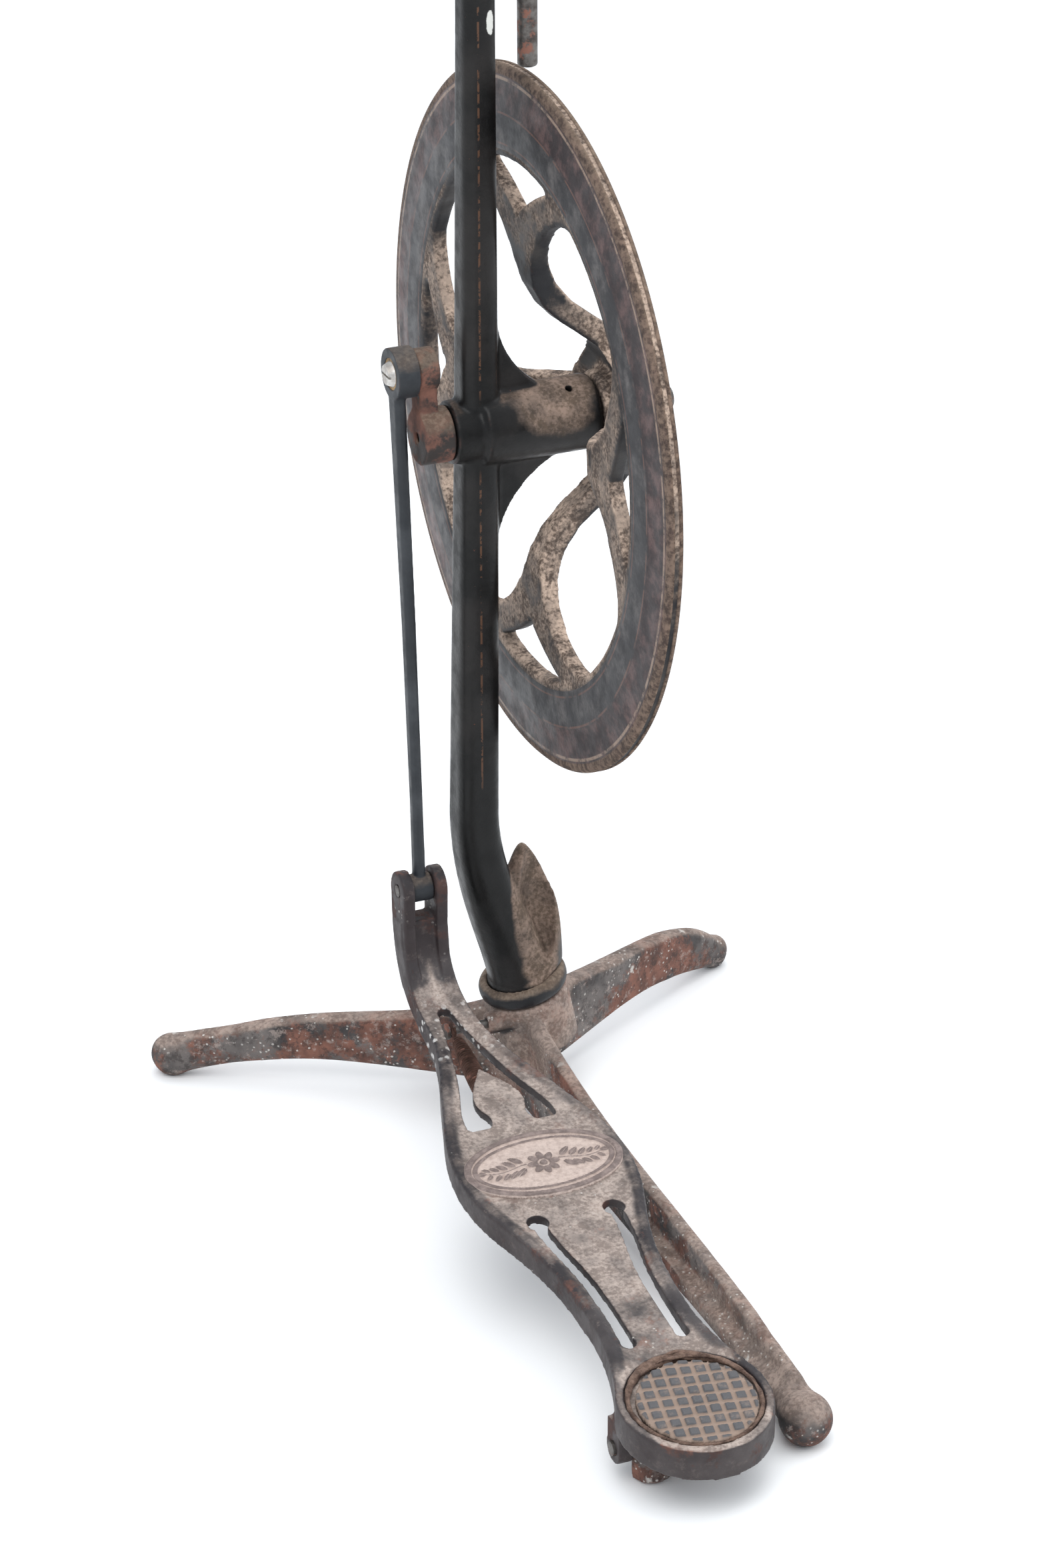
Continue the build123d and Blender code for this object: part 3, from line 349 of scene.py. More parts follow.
def hub_dust(n):
    """More dust on the hub and along the front leg."""
    hub = n.math("MULTIPLY", near(n, place(4, -4, 40), (40, 44, 40)), 0.8)
    return n.math("ADD", hub, n.math("MULTIPLY", near(n, place(0, -250, 14), (22, 70, 16)), 0.6))


def metal(name, color, dark, rough, rusty, scale=5.0):
    """Bare metal in two tones, in blotches of about scale millimetres, with patches of rust."""
    n = Net(name)
    mid, fine = n.noise(scale, 5, 0.65), n.noise(0.9, 3, seed=4.0)
    tone = n.mix(n.ramp(mid, 0.35, 0.68), color, dark)
    wear = n.ramp(n.noise(scale * 1.7, 6, 0.7, seed=8.0), 0.68 - 0.3 * rusty, 0.76 - 0.3 * rusty)
    tone = n.mix(wear, tone, RUST)
    r = n.blend(wear, n.blend(n.ramp(mid, 0.3, 0.7), rough, rough + 0.18), 0.88)
    return n.done(tone, r, n.blend(wear, 0.9, 0.1), n.bump(fine, 0.05))


COLUMN_LINES = ((-18.6, 0.34), (-10.6, 0.28))    # place and half width of each line, millimetres
LINE_LEAN = 0.0055                               # the lines' drift in X for each metre of height


def column_lines(n, color):
    """Two thin, broken lines down the column's front, missing on the boss, and a spot of white paint."""
    x, y, z = (n.position(a) for a in "XYZ")
    front = n.ramp(n.math("MULTIPLY", n.normal("Y"), -1.0), 0.75, 0.95)
    broken = n.ramp(n.noise(5, 4, 0.7, seed=1.0), 0.46, 0.54)
    high = n.ramp(z, 0.150, 0.175)
    straight = n.math("SUBTRACT", x, n.math("MULTIPLY", n.math("SUBTRACT", z, 0.325), LINE_LEAN))
    (left, left_half), (right, right_half) = COLUMN_LINES
    total = n.math("MAXIMUM",
                   stripe(n, straight, SHIFT.x + left * MM, (left_half + 0.22) * MM, left_half * MM),
                   stripe(n, straight, SHIFT.x + right * MM, (right_half + 0.22) * MM, right_half * MM))
    lines = n.math("MULTIPLY", n.math("MULTIPLY", total, front), n.math("MULTIPLY", broken, high))
    clear = n.math("SUBTRACT", 1.0, near(n, place(-10, 0, 325), (40, 60, 24)))
    color = n.mix(n.math("MULTIPLY", n.math("MULTIPLY", lines, clear), 0.7), color, STRIPE)
    return white_spot(n, color, x, y, z)


def white_spot(n, color, x, y, z):
    """A ragged upright oval of white paint high on the column's front."""
    spot = None
    for axis, middle, size in ((x, SHIFT.x - 12.3 * MM, 1.9), (z, 503.5 * MM, 5.5)):
        d = n.math("DIVIDE", n.math("SUBTRACT", axis, middle), size * MM)
        d = n.math("MULTIPLY", d, d)
        spot = d if spot is None else n.math("ADD", spot, d)
    spot = n.ramp(n.math("ADD", spot, n.math("MULTIPLY", n.noise(3, 4, seed=2.2), 1.6)), 1.75, 1.45)
    front = n.ramp(n.math("MULTIPLY", y, -1), -SHIFT.y, -SHIFT.y + 0.004)
    return n.mix(n.math("MULTIPLY", spot, front), color, (0.62, 0.62, 0.58))


def wheel_radius(n):
    """Distance from the axle's line, metres."""
    y = n.math("SUBTRACT", n.position("Y"), AXLE.y)
    z = n.math("SUBTRACT", n.position("Z"), AXLE.z)
    return n.math("SQRT", n.math("ADD", n.math("MULTIPLY", y, y), n.math("MULTIPLY", z, z)))


def rim_lines(n, color):
    """Slate face, a dark red bevel and two thin painted circles."""
    r = wheel_radius(n)
    blotch, patchy = n.noise(16, 6, 0.7, seed=13.0), n.noise(11, 6, 0.72, seed=14.0)
    color = n.mix(n.ramp(blotch, 0.45, 0.75), (0.028, 0.027, 0.029), (0.115, 0.106, 0.103))
    red = n.mix(n.ramp(patchy, 0.40, 0.70), (0.028, 0.021, 0.022), (0.115, 0.070, 0.065))
    color = n.mix(n.ramp(r, 0.1312, 0.1322), color, red)
    for at, wide in ((0.1180, 0.00024), (0.1310, 0.0003)):
        line = n.math("MULTIPLY", stripe(n, r, at, wide + 0.0003, wide),
                      n.ramp(n.noise(9, 4, seed=15.0), 0.38, 0.52))
        color = n.mix(n.math("MULTIPLY", line, 0.45), color, (0.20, 0.095, 0.068))
    return color


def rim_edge(n, color, rough):
    """Brown grime where the edge of the rim turns over into the belt groove, and a light line beside it."""
    r = wheel_radius(n)
    side = n.math("ABSOLUTE", n.normal("X"))
    edge = n.math("MAXIMUM", n.math("MULTIPLY", n.ramp(r, 0.1450, 0.1470), n.ramp(side, 0.85, 0.55)),
                  n.math("MULTIPLY", n.ramp(r, 0.1462, 0.1472), 0.8))
    dirt = n.ramp(n.noise(3, 5, 0.7, seed=16.0), 0.35, 0.65)
    grime = n.mix(dirt, (0.050, 0.034, 0.026), (0.215, 0.150, 0.110))
    color = n.mix(n.math("MULTIPLY", edge, 0.95), color, grime)
    light = n.math("MULTIPLY", stripe(n, r, 0.1452, 0.0009, 0.0004),
                   n.ramp(n.noise(7, 5, 0.7, seed=19.0), 0.36, 0.56))
    color = n.mix(n.math("MULTIPLY", light, 0.7), color, (0.33, 0.24, 0.18))
    return color, n.blend(edge, rough, 0.9)


MAT = {}


def grit():
    """Fine grey grit, a little stained."""
    n = Net("grit")
    grains, stain = n.noise(0.8, 3, 0.7), n.noise(18, 4)
    color = n.mix(n.ramp(grains, 0.3, 0.7), (0.20, 0.185, 0.165), (0.36, 0.34, 0.31))
    color = n.mix(n.math("MULTIPLY", n.ramp(stain, 0.5, 0.8), 0.5), color, (0.12, 0.10, 0.085))
    return n.done(color, 0.95, 0.0, n.bump(grains, 0.35))


def make_materials():
    """Finishes that more than one piece can use."""
    MAT["column"] = iron("column_paint", (0.006, 0.006, 0.006), (0.024, 0.021, 0.020), mottle=0.6, dust=0.9,
                         dust_from=0.70, chips=0.95, gloss=0.30, stripes=column_lines, where=column_dust,
                         sheen=0.22, soil=((0.30, 0.215, 0.168), SOIL))
    MAT["boss"] = iron("black_paint", mottle=0.4, dust=0.9, dust_from=0.25, chips=0.5, gloss=0.34)
    MAT["spokes"] = iron("spoke_paint", (0.012, 0.012, 0.014), (0.050, 0.045, 0.042), mottle=0.8, dust=0.98,
                         dust_from=-0.25, chips=0.6, gloss=0.5,
                         soil=((0.54, 0.41, 0.32), (0.105, 0.075, 0.058)))
    MAT["rim"] = iron("rim_paint", mottle=0.3, dust=0.75, dust_from=0.35, chips=0.7, gloss=0.40,
                      stripes=rim_lines, extra=rim_edge)
    MAT["treadle"] = iron("treadle_iron", (0.024, 0.022, 0.024), (0.125, 0.110, 0.105), mottle=0.8,
                          dust=0.95, dust_from=0.42, chips=1.0, rust=0.22, specks=0.22, gloss=0.45,
                          where=treadle_dust, soil=PALE_DUST, extra=treadle_mould_and_shade)
    MAT["base"] = iron("base_iron", (0.035, 0.032, 0.032), (0.165, 0.145, 0.135), mottle=0.9, dust=0.85,
                       dust_from=0.25, chips=0.9, rust=0.52, specks=1.0, gloss=0.5, where=hub_dust,
                       extra=base_pits, soil=((0.40, 0.31, 0.26), (0.20, 0.15, 0.125)))
    MAT["crank"] = iron("crank_iron", (0.030, 0.024, 0.022), (0.075, 0.055, 0.045), mottle=0.9, dust=0.7,
                        dust_from=0.1, chips=0.9, rust=0.5, gloss=0.5)
    MAT["rod"] = iron("rod_paint", (0.022, 0.025, 0.029), (0.055, 0.060, 0.066), mottle=0.8, dust=0.5,
                      dust_from=0.3, chips=0.4, gloss=0.42)
    MAT["dark_steel"] = metal("dark_steel", (0.16, 0.15, 0.14), (0.07, 0.06, 0.055), 0.42, 0.45)
    MAT["bright_steel"] = metal("bright_steel", (0.62, 0.60, 0.57), (0.36, 0.33, 0.30), 0.30, 0.1)
    MAT["spring"] = metal("rusty_wire", (0.12, 0.065, 0.05), (0.07, 0.04, 0.03), 0.6, 0.35, 6.0)
    MAT["bronze"] = metal("old_bronze", (0.34, 0.22, 0.10), (0.16, 0.10, 0.05), 0.45, 0.1)
    MAT["stone"] = grit()


# ---- pieces ------------------------------------------------------------------------------------------
def add(name, mesh, material, body):
    """A smooth-shaded piece; body is the one it rides on, or None."""
    o = bpy.data.objects.new(name, mesh)
    bpy.context.scene.collection.objects.link(o)
    mesh.materials.clear()
    mesh.materials.append(MAT[material])
    mesh.shade_smooth()
    if body:
        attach(o, body)
    return o


def mesh_of(name, points, faces):
    mesh = bpy.data.meshes.new(name)
    mesh.from_pydata([tuple(p) for p in points], [], faces)
    mesh.update()
    return mesh


def applied(o, name):
    """The object's mesh with its modifiers applied, as a new mesh; the object is removed."""
    deps = bpy.context.evaluated_depsgraph_get()
    mesh = bpy.data.meshes.new_from_object(o.evaluated_get(deps), depsgraph=deps)
    mesh.name = name
    bpy.data.objects.remove(o)
    return mesh


def cast(node, body, material, voxel, passes):
    """Soft-edged casting in place of a CAD node: its own shape, remeshed finely and relaxed."""
    o = bpy.data.objects.new(node + "_src", frame["nodes"][node].data.copy())
    bpy.context.scene.collection.objects.link(o)
    m = o.modifiers.new("voxels", "REMESH")
    m.mode, m.voxel_size, m.adaptivity, m.use_smooth_shade = "VOXEL", voxel * MM, 0.0, True
    s = o.modifiers.new("relax", "SMOOTH")
    s.factor, s.iterations = 0.5, passes
    piece = add(node + "_casting", applied(o, node + "_casting"), material, body)
    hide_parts(node)
    return piece


def lathe(name, profile, centre):
    """Closed ring swept about the X axis through centre; profile is (radius, along) in millimetres."""
    pts, faces, steps, n = [], [], 256, len(profile)
    for i in range(steps):
        a = 2 * math.pi * i / steps
        for r, x in profile:
            y, z = r * MM * math.cos(a), r * MM * math.sin(a)
            pts.append((centre.x + x * MM, centre.y + y, centre.z + z))
    for i in range(steps):
        j = (i + 1) % steps
        for k in range(n):
            q = (k + 1) % n
            faces.append((i * n + k, i * n + q, j * n + q, j * n + k))
    return mesh_of(name, pts, faces)


def tube(name, line, radius, sides):
    """Closed mesh tube along points, with a steady frame carried from one point to the next."""
    line = [Vector(p) for p in line]
    pts, faces, side = [], [], None
    for i, p in enumerate(line):
        d = (line[min(i + 1, len(line) - 1)] - line[max(i - 1, 0)]).normalized()
        side = d.orthogonal() if side is None else side - d * side.dot(d)
        side.normalize()
        other = d.cross(side)
        r = radius(i / (len(line) - 1)) if callable(radius) else radius
        for k in range(sides):
            a = 2 * math.pi * k / sides
            pts.append(p + (side * math.cos(a) + other * math.sin(a)) * r)
    for i in range(len(line) - 1):
        for k in range(sides):
            q = (k + 1) % sides
            faces.append((i * sides + k, i * sides + q, (i + 1) * sides + q, (i + 1) * sides + k))
    faces.append(tuple(range(sides))[::-1])
    faces.append(tuple(range((len(line) - 1) * sides, len(line) * sides)))
    return mesh_of(name, pts, faces)


def relief(name, inside, height, half_x, half_y, step, base, to_world):
    """Closed mesh of a height field over the cells where inside() holds; sizes in millimetres."""
    xs = np.arange(-half_x, half_x + step / 2, step)
    ys = np.arange(-half_y, half_y + step / 2, step)
    gx, gy = np.meshgrid(xs, ys, indexing="ij")
    gz = height(gx, gy)
    keep = inside(gx, gy)
    index, pts, faces = {}, [], []

    def vert(i, j, low):
        key = (i, j, low)
        if key not in index:
            index[key] = len(pts)
            pts.append(to_world(gx[i, j], gy[i, j], base if low else gz[i, j]))
        return index[key]

    nx, ny = gx.shape
    cell = keep[:-1, :-1] & keep[1:, :-1] & keep[1:, 1:] & keep[:-1, 1:]
    for i in range(nx - 1):
        for j in range(ny - 1):
            if not cell[i, j]:
                continue
            ring = [(i, j), (i + 1, j), (i + 1, j + 1), (i, j + 1)]
            faces.append([vert(a, b, False) for a, b in ring])
            faces.append([vert(a, b, True) for a, b in reversed(ring)])
            for k, (di, dj) in enumerate(((0, -1), (1, 0), (0, 1), (-1, 0))):
                a, b = i + di, j + dj
                if not (0 <= a < nx - 1 and 0 <= b < ny - 1 and cell[a, b]):
                    p, q = ring[k], ring[(k + 1) % 4]
                    faces.append([vert(*p, True), vert(*q, True), vert(*q, False), vert(*p, False)])
    return mesh_of(name, pts, faces)


def roll_edges(o):
    """Raises a rounded rail along both outer edges of the deck and lowers the deck between them."""
    mesh = o.data
    co, no = (np.empty(len(mesh.vertices) * 3) for _ in range(2))
    mesh.vertices.foreach_get("co", co)
    mesh.vertices.foreach_get("normal", no)
    co, no = co.reshape(-1, 3), no.reshape(-1, 3)
    x, y, z = (co[:, 0] - DECK_X) / MM, (co[:, 1] - SHIFT.y) / MM, co[:, 2] / MM
    edge_y, edge_w = zip(*DECK_EDGE)
    inward = np.clip((np.interp(y, edge_y, edge_w) - np.abs(x)) * 0.93, 0, 99)
    deck = PAD.z / MM + (y - (PAD.y - SHIFT.y) / MM) * math.tan(SLOPE)
    top = np.clip((no[:, 2] - 0.55) / 0.3, 0, 1) * (np.abs(z - deck) < 1.5)
    pad_end, neck_end, fade = -300, -52, 12
    ends = np.clip((y - pad_end) / fade, 0, 1) * np.clip((neck_end - y) / fade, 0, 1)
    rail_middle, rail_half, rail_rise, deck_drop = 2.9, 3.2, 1.0, 0.35
    rise = rail_rise * np.clip(1 - np.abs(inward - rail_middle) / rail_half, 0, 1) ** 0.7 * top * ends
    hollow = deck_drop * np.clip((inward - 7) / 4, 0, 1) * top * ends
    co[:, 2] += (rise - hollow) * MM
    mesh.vertices.foreach_set("co", co.ravel())
    mesh.update()


def soften_feet(o):
    """Draws each leg smoothly into its foot; the lowest millimetre keeps its place on the floor."""
    group = o.vertex_groups.new(name="feet")
    feet = [place(0, -285, 0), place(131, 75.5, 0), place(-136, 78.5, 0)]
    levels = {}
    for v in o.data.vertices:
        away = min(math.hypot(v.co.x - f.x, v.co.y - f.y) for f in feet) / MM
        weight = min(1.0, max(0.0, (42 - away) / 14)) * min(1.0, max(0.0, (v.co.z / MM - 1) / 4))
        if weight > 0.01:
            levels.setdefault(round(weight * 20), []).append(v.index)
    for level, indices in levels.items():
        group.add(indices, level / 20, "REPLACE")
    m = o.modifiers.new("soften", "SMOOTH")
    m.factor, m.iterations, m.vertex_group = 0.5, 60, "feet"
    deps = bpy.context.evaluated_depsgraph_get()
    soft = bpy.data.meshes.new_from_object(o.evaluated_get(deps), depsgraph=deps)
    o.modifiers.remove(m)
    o.data = soft


def castings():
    """Every cast piece; the voxel sizes are in millimetres."""
    cast("column", "stand", "column", 1.0, 6)
    soften_feet(cast("tripod_base", "stand", "base", 1.0, 8))
    roll_edges(cast("treadle", "treadle", "treadle", 0.75, 3))
    cast("flywheel", "flywheel", "spokes", 1.0, 8)
    cast("crank_arm", "flywheel", "crank", 0.6, 4)
    cast("connecting_rod", "rod", "rod", 0.5, 2)
    cast("head_casting", "stand", "boss", 0.8, 4)
    cast("socket_collar", "stand", "boss", 0.7, 3)


def rim_ring():
    """Crisp turned rim laid over the cast one, with its bevel and belt groove."""
    x0, r1 = 3.6, 151.0
    profile = [(114.5, x0 + 0.5), (115.5, x0 - 0.05), (117.0, x0 - 0.25), (131.4, x0 - 0.25),
               (132.0, x0 + 0.1), (140, x0 + 0.7), (148.6, x0 + 1.35), (149.8, x0 + 1.75),
               (150.6, x0 + 2.6), (r1, x0 + 3.0),
               (r1, x0 + 3.3), (150.4, x0 + 3.5), (148.0, x0 + 3.9), (147.7, x0 + 4.4), (148.0, x0 + 4.9),
               (150.4, x0 + 5.3), (r1, x0 + 5.5), (r1, x0 + 6.6), (150.4, x0 + 7.2), (149.2, x0 + 7.6),
               (117.0, x0 + 7.6), (115.5, x0 + 7.4), (114.5, x0 + 6.9)]
    add("rim_face", lathe("rim_face", profile, AXLE), "rim", "flywheel")


def deck_level(n):
    """Height above the deck's plane, millimetres."""
    up = n.math("SUBTRACT", n.position("Z"), n.math("MULTIPLY", n.position("Y"), math.tan(SLOPE)))
    return n.math("MULTIPLY", n.math("SUBTRACT", up, PAD.z - PAD.y * math.tan(SLOPE)), 1 / MM)


def pad_height(x, y):
    """Worn square blocks with grooves between them, rounded off at the disc's edge."""
    pitch, turn = 5.95, math.radians(-9)
    ct, st = math.cos(turn), math.sin(turn)
    u, v = x * ct + y * st, -x * st + y * ct
    cells = []
    for w in (u, v):
        f = np.abs(np.mod(w, pitch) - pitch / 2)     # 0 in the groove's middle
        cells.append(np.clip((f - 0.55) / 0.75, 0, 1))
    block = np.minimum(*cells)
    block = block * block * (3 - 2 * block)
    worn = 0.22 * np.sin(u * 0.21 + 1.0) * np.cos(v * 0.17) + 0.10 * np.sin(u * 1.3) * np.sin(v * 1.7 + 2)
    edge = np.clip((np.hypot(x, y) - 22.8) / 1.5, 0, 1) ** 2
    return 0.1 + block * (1.15 + worn) - 0.9 * edge


def rubber():
    """Dark rubber with brown dirt in its grooves."""
    n = Net("ribbed_rubber")
    uneven = n.math("MULTIPLY", n.noise(5, 5, 0.7), 0.9)
    dirt = n.ramp(n.math("ADD", deck_level(n), uneven), 1.42, 0.80)
    film = n.math("MULTIPLY", n.ramp(n.noise(7, 6, 0.75, seed=3.0), 0.50, 0.72), 0.6)
    color = n.mix(n.math("MAXIMUM", dirt, film), (0.085, 0.083, 0.086), (0.290, 0.215, 0.170))
    return n.done(color, n.blend(dirt, 0.62, 0.95), 0.0, n.bump(n.noise(1.2, 4, 0.7), 0.25))


def heel_pad():
    """Ribbed rubber disc: rows of worn blocks between grooves full of dirt."""
    pad_r, forward = 24.3, 2.3               # the pad has slipped toward its front edge
    mesh = relief("heel_pad_rubber", lambda x, y: np.hypot(x, y) < pad_r, pad_height,
                  half_x=25.5, half_y=25.5, step=0.35, base=-2.4,
                  to_world=lambda x, y, z: deck_point(x, y - forward, z))
    MAT["rubber"] = rubber()
    piece = add("heel_pad_rubber", mesh, "rubber", "treadle")
    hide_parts("heel_pad")


def packing_rope(phase):
    """Lumpy ring, thick at the back, as a closed tube that stays inside the disc's wall."""
    around, across, wall_r = 260, 14, 27.85
    pts, faces = [], []
    for i in range(around):
        a = 2 * math.pi * i / around
        back = max(0.0, math.cos(a - math.radians(97))) ** 2.2
        wave = sum(math.sin(a * (5 + 4 * k) + phase[k]) / (1.5 + k) for k in range(6))
        fat = 0.95 + 1.4 * back + 0.17 * wave
        ring_r = 26.7 - 1.2 * back + 0.10 * wave
        for k in range(across):
            b = 2 * math.pi * k / across
            lump = 1 + 0.16 * math.sin(3 * b + 9 * a + phase[6]) + 0.10 * math.sin(23 * a + 2 * b + phase[7])
            r = min(ring_r + fat * 0.95 * lump * math.cos(b), wall_r)
            up = -1.1 + 0.35 * back + fat * 0.85 * lump * math.sin(b)
            pts.append(deck_point(r * math.cos(a), r * math.sin(a), max(up, -2.5)))
    for i in range(around):
        j = (i + 1) % around
        for k in range(across):
            q = (k + 1) % across
            faces.append((i * across + k, i * across + q, j * across + q, j * across + k))
    return mesh_of("pad_packing", pts, faces)


def fibre():
    """Crumbling brown fibre."""
    n = Net("leather_packing")
    long, fine = n.noise(5, 6, 0.75), n.noise(0.8, 5, 0.8, stretch=(0.4, 1.6, 1), seed=2.0)
    color = n.mix(n.ramp(long, 0.35, 0.68), (0.095, 0.055, 0.040), (0.300, 0.195, 0.145))
    color = n.mix(n.math("MULTIPLY", n.ramp(fine, 0.5, 0.8), 0.6), color, (0.42, 0.32, 0.26))
    return n.done(color, 0.97, 0.0, n.bump(n.math("ADD", fine, long), 0.8))


def pad_packing():
    """Crumbling packing round the pad, with torn layers lying in the crescent behind it."""
    rng = random.Random(5)
    MAT["fibre"] = fibre()
    phase = [rng.uniform(0, 6.28) for _ in range(8)]
    piece = add("pad_packing", packing_rope(phase), "fibre", "treadle")
    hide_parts("pad_bed")
    for k in range(4):
        line, span, start = [], rng.uniform(26, 44), rng.uniform(62, 96)
        for i in range(26):
            t = i / 25
            a = math.radians(start + span * (t - 0.5))
            r = 23.9 + 0.75 * k + 0.25 * math.sin(9 * t + k)
            up = 0.35 + 0.45 * math.sin(3.1 * t) + 0.15 * k
            line.append(deck_point(r * math.cos(a), r * math.sin(a), up))
        strand = tube("torn_layer_%d" % k, line, lambda t: MM * (0.28 + 0.55 * math.sin(math.pi * t)), 7)
        add("torn_layer_%d" % k, strand, "fibre", "treadle")


BADGE_X, BADGE_Y = 35.6, 20.8            # half axes of the ornament's oval, millimetres


def ridge(d, half):
    """A ridge along d = 0, 1 high, with soft sides; half is half its width."""
    return np.clip((half - np.abs(d)) / 0.45 + 0.5, 0, 1)


def oval(x, y, inset):
    """Rough distance outside an oval that lies inset millimetres inside the badge's edge."""
    q = np.hypot(x / (BADGE_X - inset), y / (BADGE_Y - inset))
    return (q - 1) * (BADGE_Y - inset) * 1.15


def leaf(x, y, centre, turn, length, width):
    """Pointed leaf with a groove along its middle."""
    c, s = math.cos(turn), math.sin(turn)
    u, v = (x - centre[0]) * c + (y - centre[1]) * s, -(x - centre[0]) * s + (y - centre[1]) * c
    t = np.clip(u / length, -1, 1)
    edge = width * (1 - t * t) * (1 - 0.35 * t)
    inside = np.clip((edge - np.abs(v)) / 0.5, 0, 1) * (np.abs(u) < length)
    return inside * (1 - 0.45 * np.clip(1 - np.abs(v) / 0.45, 0, 1))


def rosette(x, y):
    """Eight petals round a button."""
    r, a = np.hypot(x, y), np.arctan2(y, x)
    lobe = np.abs(np.cos(4 * a))
    petal = np.clip((4.6 + 2.9 * lobe - r) / 0.6, 0, 1) * (0.75 + 0.35 * lobe)
    h = 1.15 * petal * np.clip((r - 2.3) / 0.5, 0.35, 1)
    return np.maximum(h, 1.35 * np.clip((1.9 - r) / 0.6, 0, 1))


def spray(x, y, side):
    """Wavy stem with five pairs of leaves and one at its end; side is 1 or -1."""
    h = 0.8 * ridge(y - 1.2 * np.sin(side * x * 0.24), 0.45) * (np.abs(x - side * 17) < 10)
    for k in range(5):
        for up in (-1, 1):
            cx = side * (11.2 + 3.5 * k)
            cy = up * (4.3 - 0.45 * k) + 1.2 * math.sin(cx * 0.24 * side)
            turn = math.atan2(up, side * 1.15)
            h = np.maximum(h, 1.05 * leaf(x, y, (cx, cy), turn, 4.3 - 0.4 * k, 1.75 - 0.12 * k))
    last = leaf(x, y, (side * 28.0, 0.4), 0 if side > 0 else math.pi, 3.0, 1.5)
    return np.maximum(h, 1.05 * last)


def badge_height(x, y):
    """The ornament's height above the deck, sinking toward the oval's edge."""
    h = np.maximum(1.3 * ridge(oval(x, y, 1.7), 1.45), 1.0 * ridge(oval(x, y, 5.4), 0.75))
    for shape in (rosette(x, y), spray(x, y, -1), spray(x, y, 1)):
        h = np.maximum(h, shape)
    return 0.18 + h * np.clip(-oval(x, y, 0.0), 0, 1)


def ornament():
    """Worn iron on the ridges and pale dust between them."""
    n = Net("ornament_iron")
    level, mid = deck_level(n), n.noise(8, 6, 0.7)
    low = n.ramp(n.math("ADD", level, n.math("MULTIPLY", n.math("SUBTRACT", mid, 0.5), 0.9)), 1.05, 0.55)
    patchy, fine = n.noise(4, 5, 0.7, seed=3.0), n.noise(2, 5, 0.7, seed=4.0)
    worn = n.mix(n.ramp(patchy, 0.4, 0.65), (0.150, 0.112, 0.100), (0.260, 0.200, 0.178))
    dusty = n.mix(n.ramp(fine, 0.35, 0.7), (0.56, 0.455, 0.40), (0.40, 0.315, 0.275))
    return n.done(n.mix(low, worn, dusty), n.blend(low, 0.6, 0.95), 0.0,
                  n.bump(n.noise(1.3, 4, 0.7, seed=5.0), 0.25))


def medallion():
    """Oval relief: two ridges round a rosette with a leaf spray on each side."""
    middle = 154.8                           # from the pad's middle along the deck
    mesh = relief("treadle_ornament", lambda x, y: np.hypot(x / BADGE_X, y / BADGE_Y) < 1.0, badge_height,
                  half_x=36, half_y=21, step=0.35, base=-0.9,
                  to_world=lambda x, y, z: deck_point(x, y + middle, z))
    MAT["ornament"] = ornament()
    piece = add("treadle_ornament", mesh, "ornament", "treadle")
    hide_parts("treadle_medallion")


def spring():
    """Close coils, fat in the middle, with a hook at each end."""
    rear, front = place(-34, -8, 44), place(TREADLE_X, -112, 49)
    axis = front - rear
    length = axis.length
    d = axis.normalized()
    side = d.orthogonal().normalized()
    other = d.cross(side)
    wire, turns, line = 0.78 * MM, 42, []
    rear_ring, front_ring = 2.9 * MM, 3.9 * MM
    start, end = 10 * MM, length - 12 * MM
    for i in range(9):                                   # rear ring round the stud
        a = math.radians(35 + 36 * i)
        line.append(rear + Vector((0, -math.sin(a), math.cos(a))) * rear_ring)
    steps = turns * 20
    for i in range(steps + 1):
        t = i / steps
        r = (1.2 + 2.4 * math.sin(math.pi * t) ** 0.45) * MM
        a = 2 * math.pi * turns * t
        around = (side * math.cos(a) + other * math.sin(a)) * r
        line.append(rear + d * (start + (end - start) * t) + around)
    for i in range(10):                                  # front ring through the lug
        a = math.radians(180 + 33 * i)
        line.append(front + (d * (math.cos(a) - 1) + Vector((0, 0, 0.9 * math.sin(a)))) * front_ring)
    piece = add("coil_spring", tube("coil_spring", line, wire, 7), "spring", None)
    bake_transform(piece)
    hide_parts("treadle_spring")


CAD_FINISHES = {
    "dark_steel": ("spring_anchor", "fulcrum_pin", "axle", "hub_washer", "hub_nut", "crank_set_screw",
                   "clevis_pin", "head_screw", "guide_screw", "inner_flange", "outer_flange", "spindle_nut",
                   "pulley_screw", "hanging_rod", "rod_knob", "rest_post", "rest_plate"),
    "bright_steel": ("crank_pin_screw", "spindle"),
    "bronze": ("axle_bush_left", "axle_bush_right", "rod_eye_bush", "spindle_bush_left",
               "spindle_bush_right"),
    "stone": ("grindstone",),
    "boss": ("pulley", "rest_arm"),
}


def cad_materials():
    """Finishes for the CAD nodes that are shown as they are."""
    for material, nodes in CAD_FINISHES.items():
        for node in nodes:
            for slot in frame["nodes"][node].material_slots:
                slot.material = MAT[material]


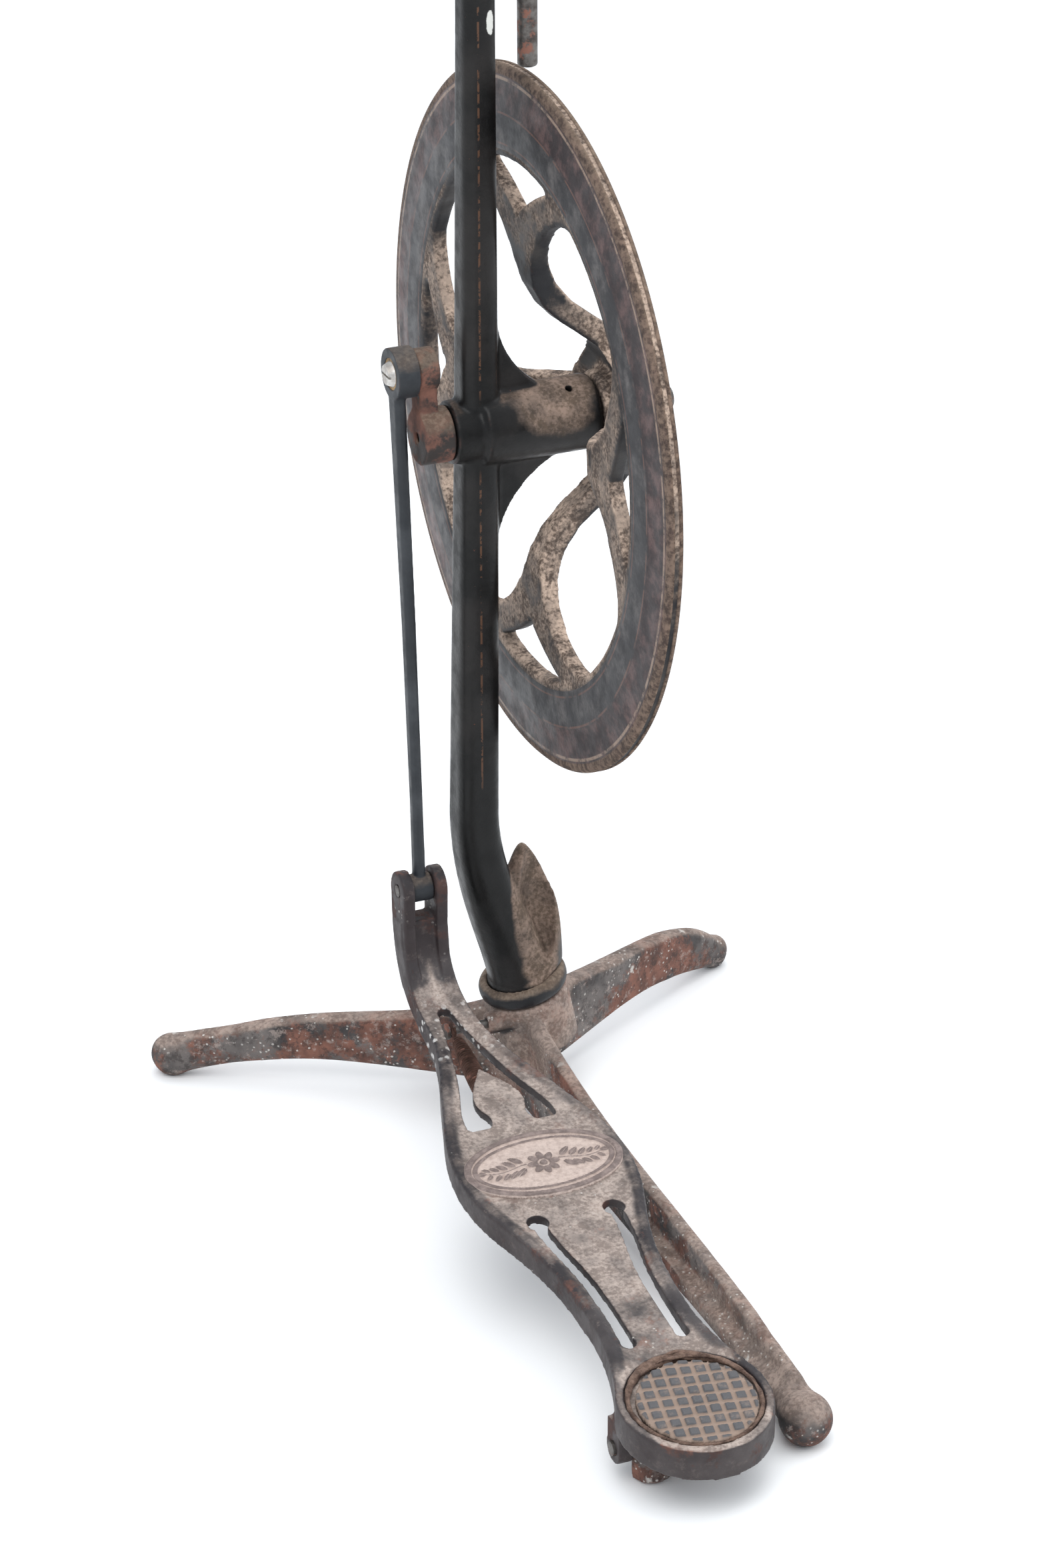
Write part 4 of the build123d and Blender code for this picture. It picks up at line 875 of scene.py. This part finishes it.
# name, place in metres from the frame's origin, size in metres, watts
LAMPS = (("key", (-0.9, -1.0, 2.3), 1.6, 26), ("top", (0.5, 0.3, 2.6), 2.2, 22),
         ("side", (2.2, -0.8, 1.2), 1.6, 14))


def studio():
    """A near-white floor under an even sky and three large lamps."""
    bpy.ops.mesh.primitive_plane_add(size=14, location=(0, 2, 0))
    floor = bpy.context.active_object
    floor.name = "floor"
    n = Net("pale_floor")
    floor.data.materials.append(n.done((0.975, 0.98, 0.975), 0.85, spec=0.2))
    world = bpy.data.worlds.new("studio")
    bpy.context.scene.world = world
    world.use_nodes = True
    sky = world.node_tree.nodes["Background"]
    sky.inputs["Color"].default_value = (0.90, 0.94, 1.0, 1)
    sky.inputs["Strength"].default_value = 0.95
    for name, where, size, power in LAMPS:
        data = bpy.data.lights.new(name, "AREA")
        data.energy, data.size = power, size
        lamp = bpy.data.objects.new(name, data)
        lamp.location = where
        lamp.rotation_euler = (Vector((0, 0, 0.25)) - Vector(where)).to_track_quat("-Z", "Y").to_euler()
        bpy.context.scene.collection.objects.link(lamp)
    bpy.context.scene.view_settings.view_transform = "Standard"


def camera():
    """Long lens from above the treadle's pad end, rolled a quarter of a degree."""
    yaw, pitch, roll = 0.391223, 0.461745, -0.004721
    fwd = Vector((math.sin(yaw) * math.cos(pitch), math.cos(yaw) * math.cos(pitch), -math.sin(pitch)))
    right = Vector((math.cos(yaw), -math.sin(yaw), 0))
    up = right.cross(fwd)
    c, s = math.cos(roll), math.sin(roll)
    r2, u2 = right * c + up * s, up * c - right * s
    data = bpy.data.cameras.new("camera")
    data.lens, data.sensor_width = 114.814, 36           # millimetres
    data.clip_end = 30
    cam = bpy.data.objects.new("camera", data)
    m = Matrix((r2, u2, -fwd)).transposed().to_4x4()
    m.translation = place(-740.569, -1803.477, 1125.533)
    cam.matrix_world = m
    bpy.context.scene.collection.objects.link(cam)
    bpy.context.scene.camera = cam


make_materials()
castings()
rim_ring()
heel_pad()
pad_packing()
medallion()
spring()
cad_materials()
studio()
camera()
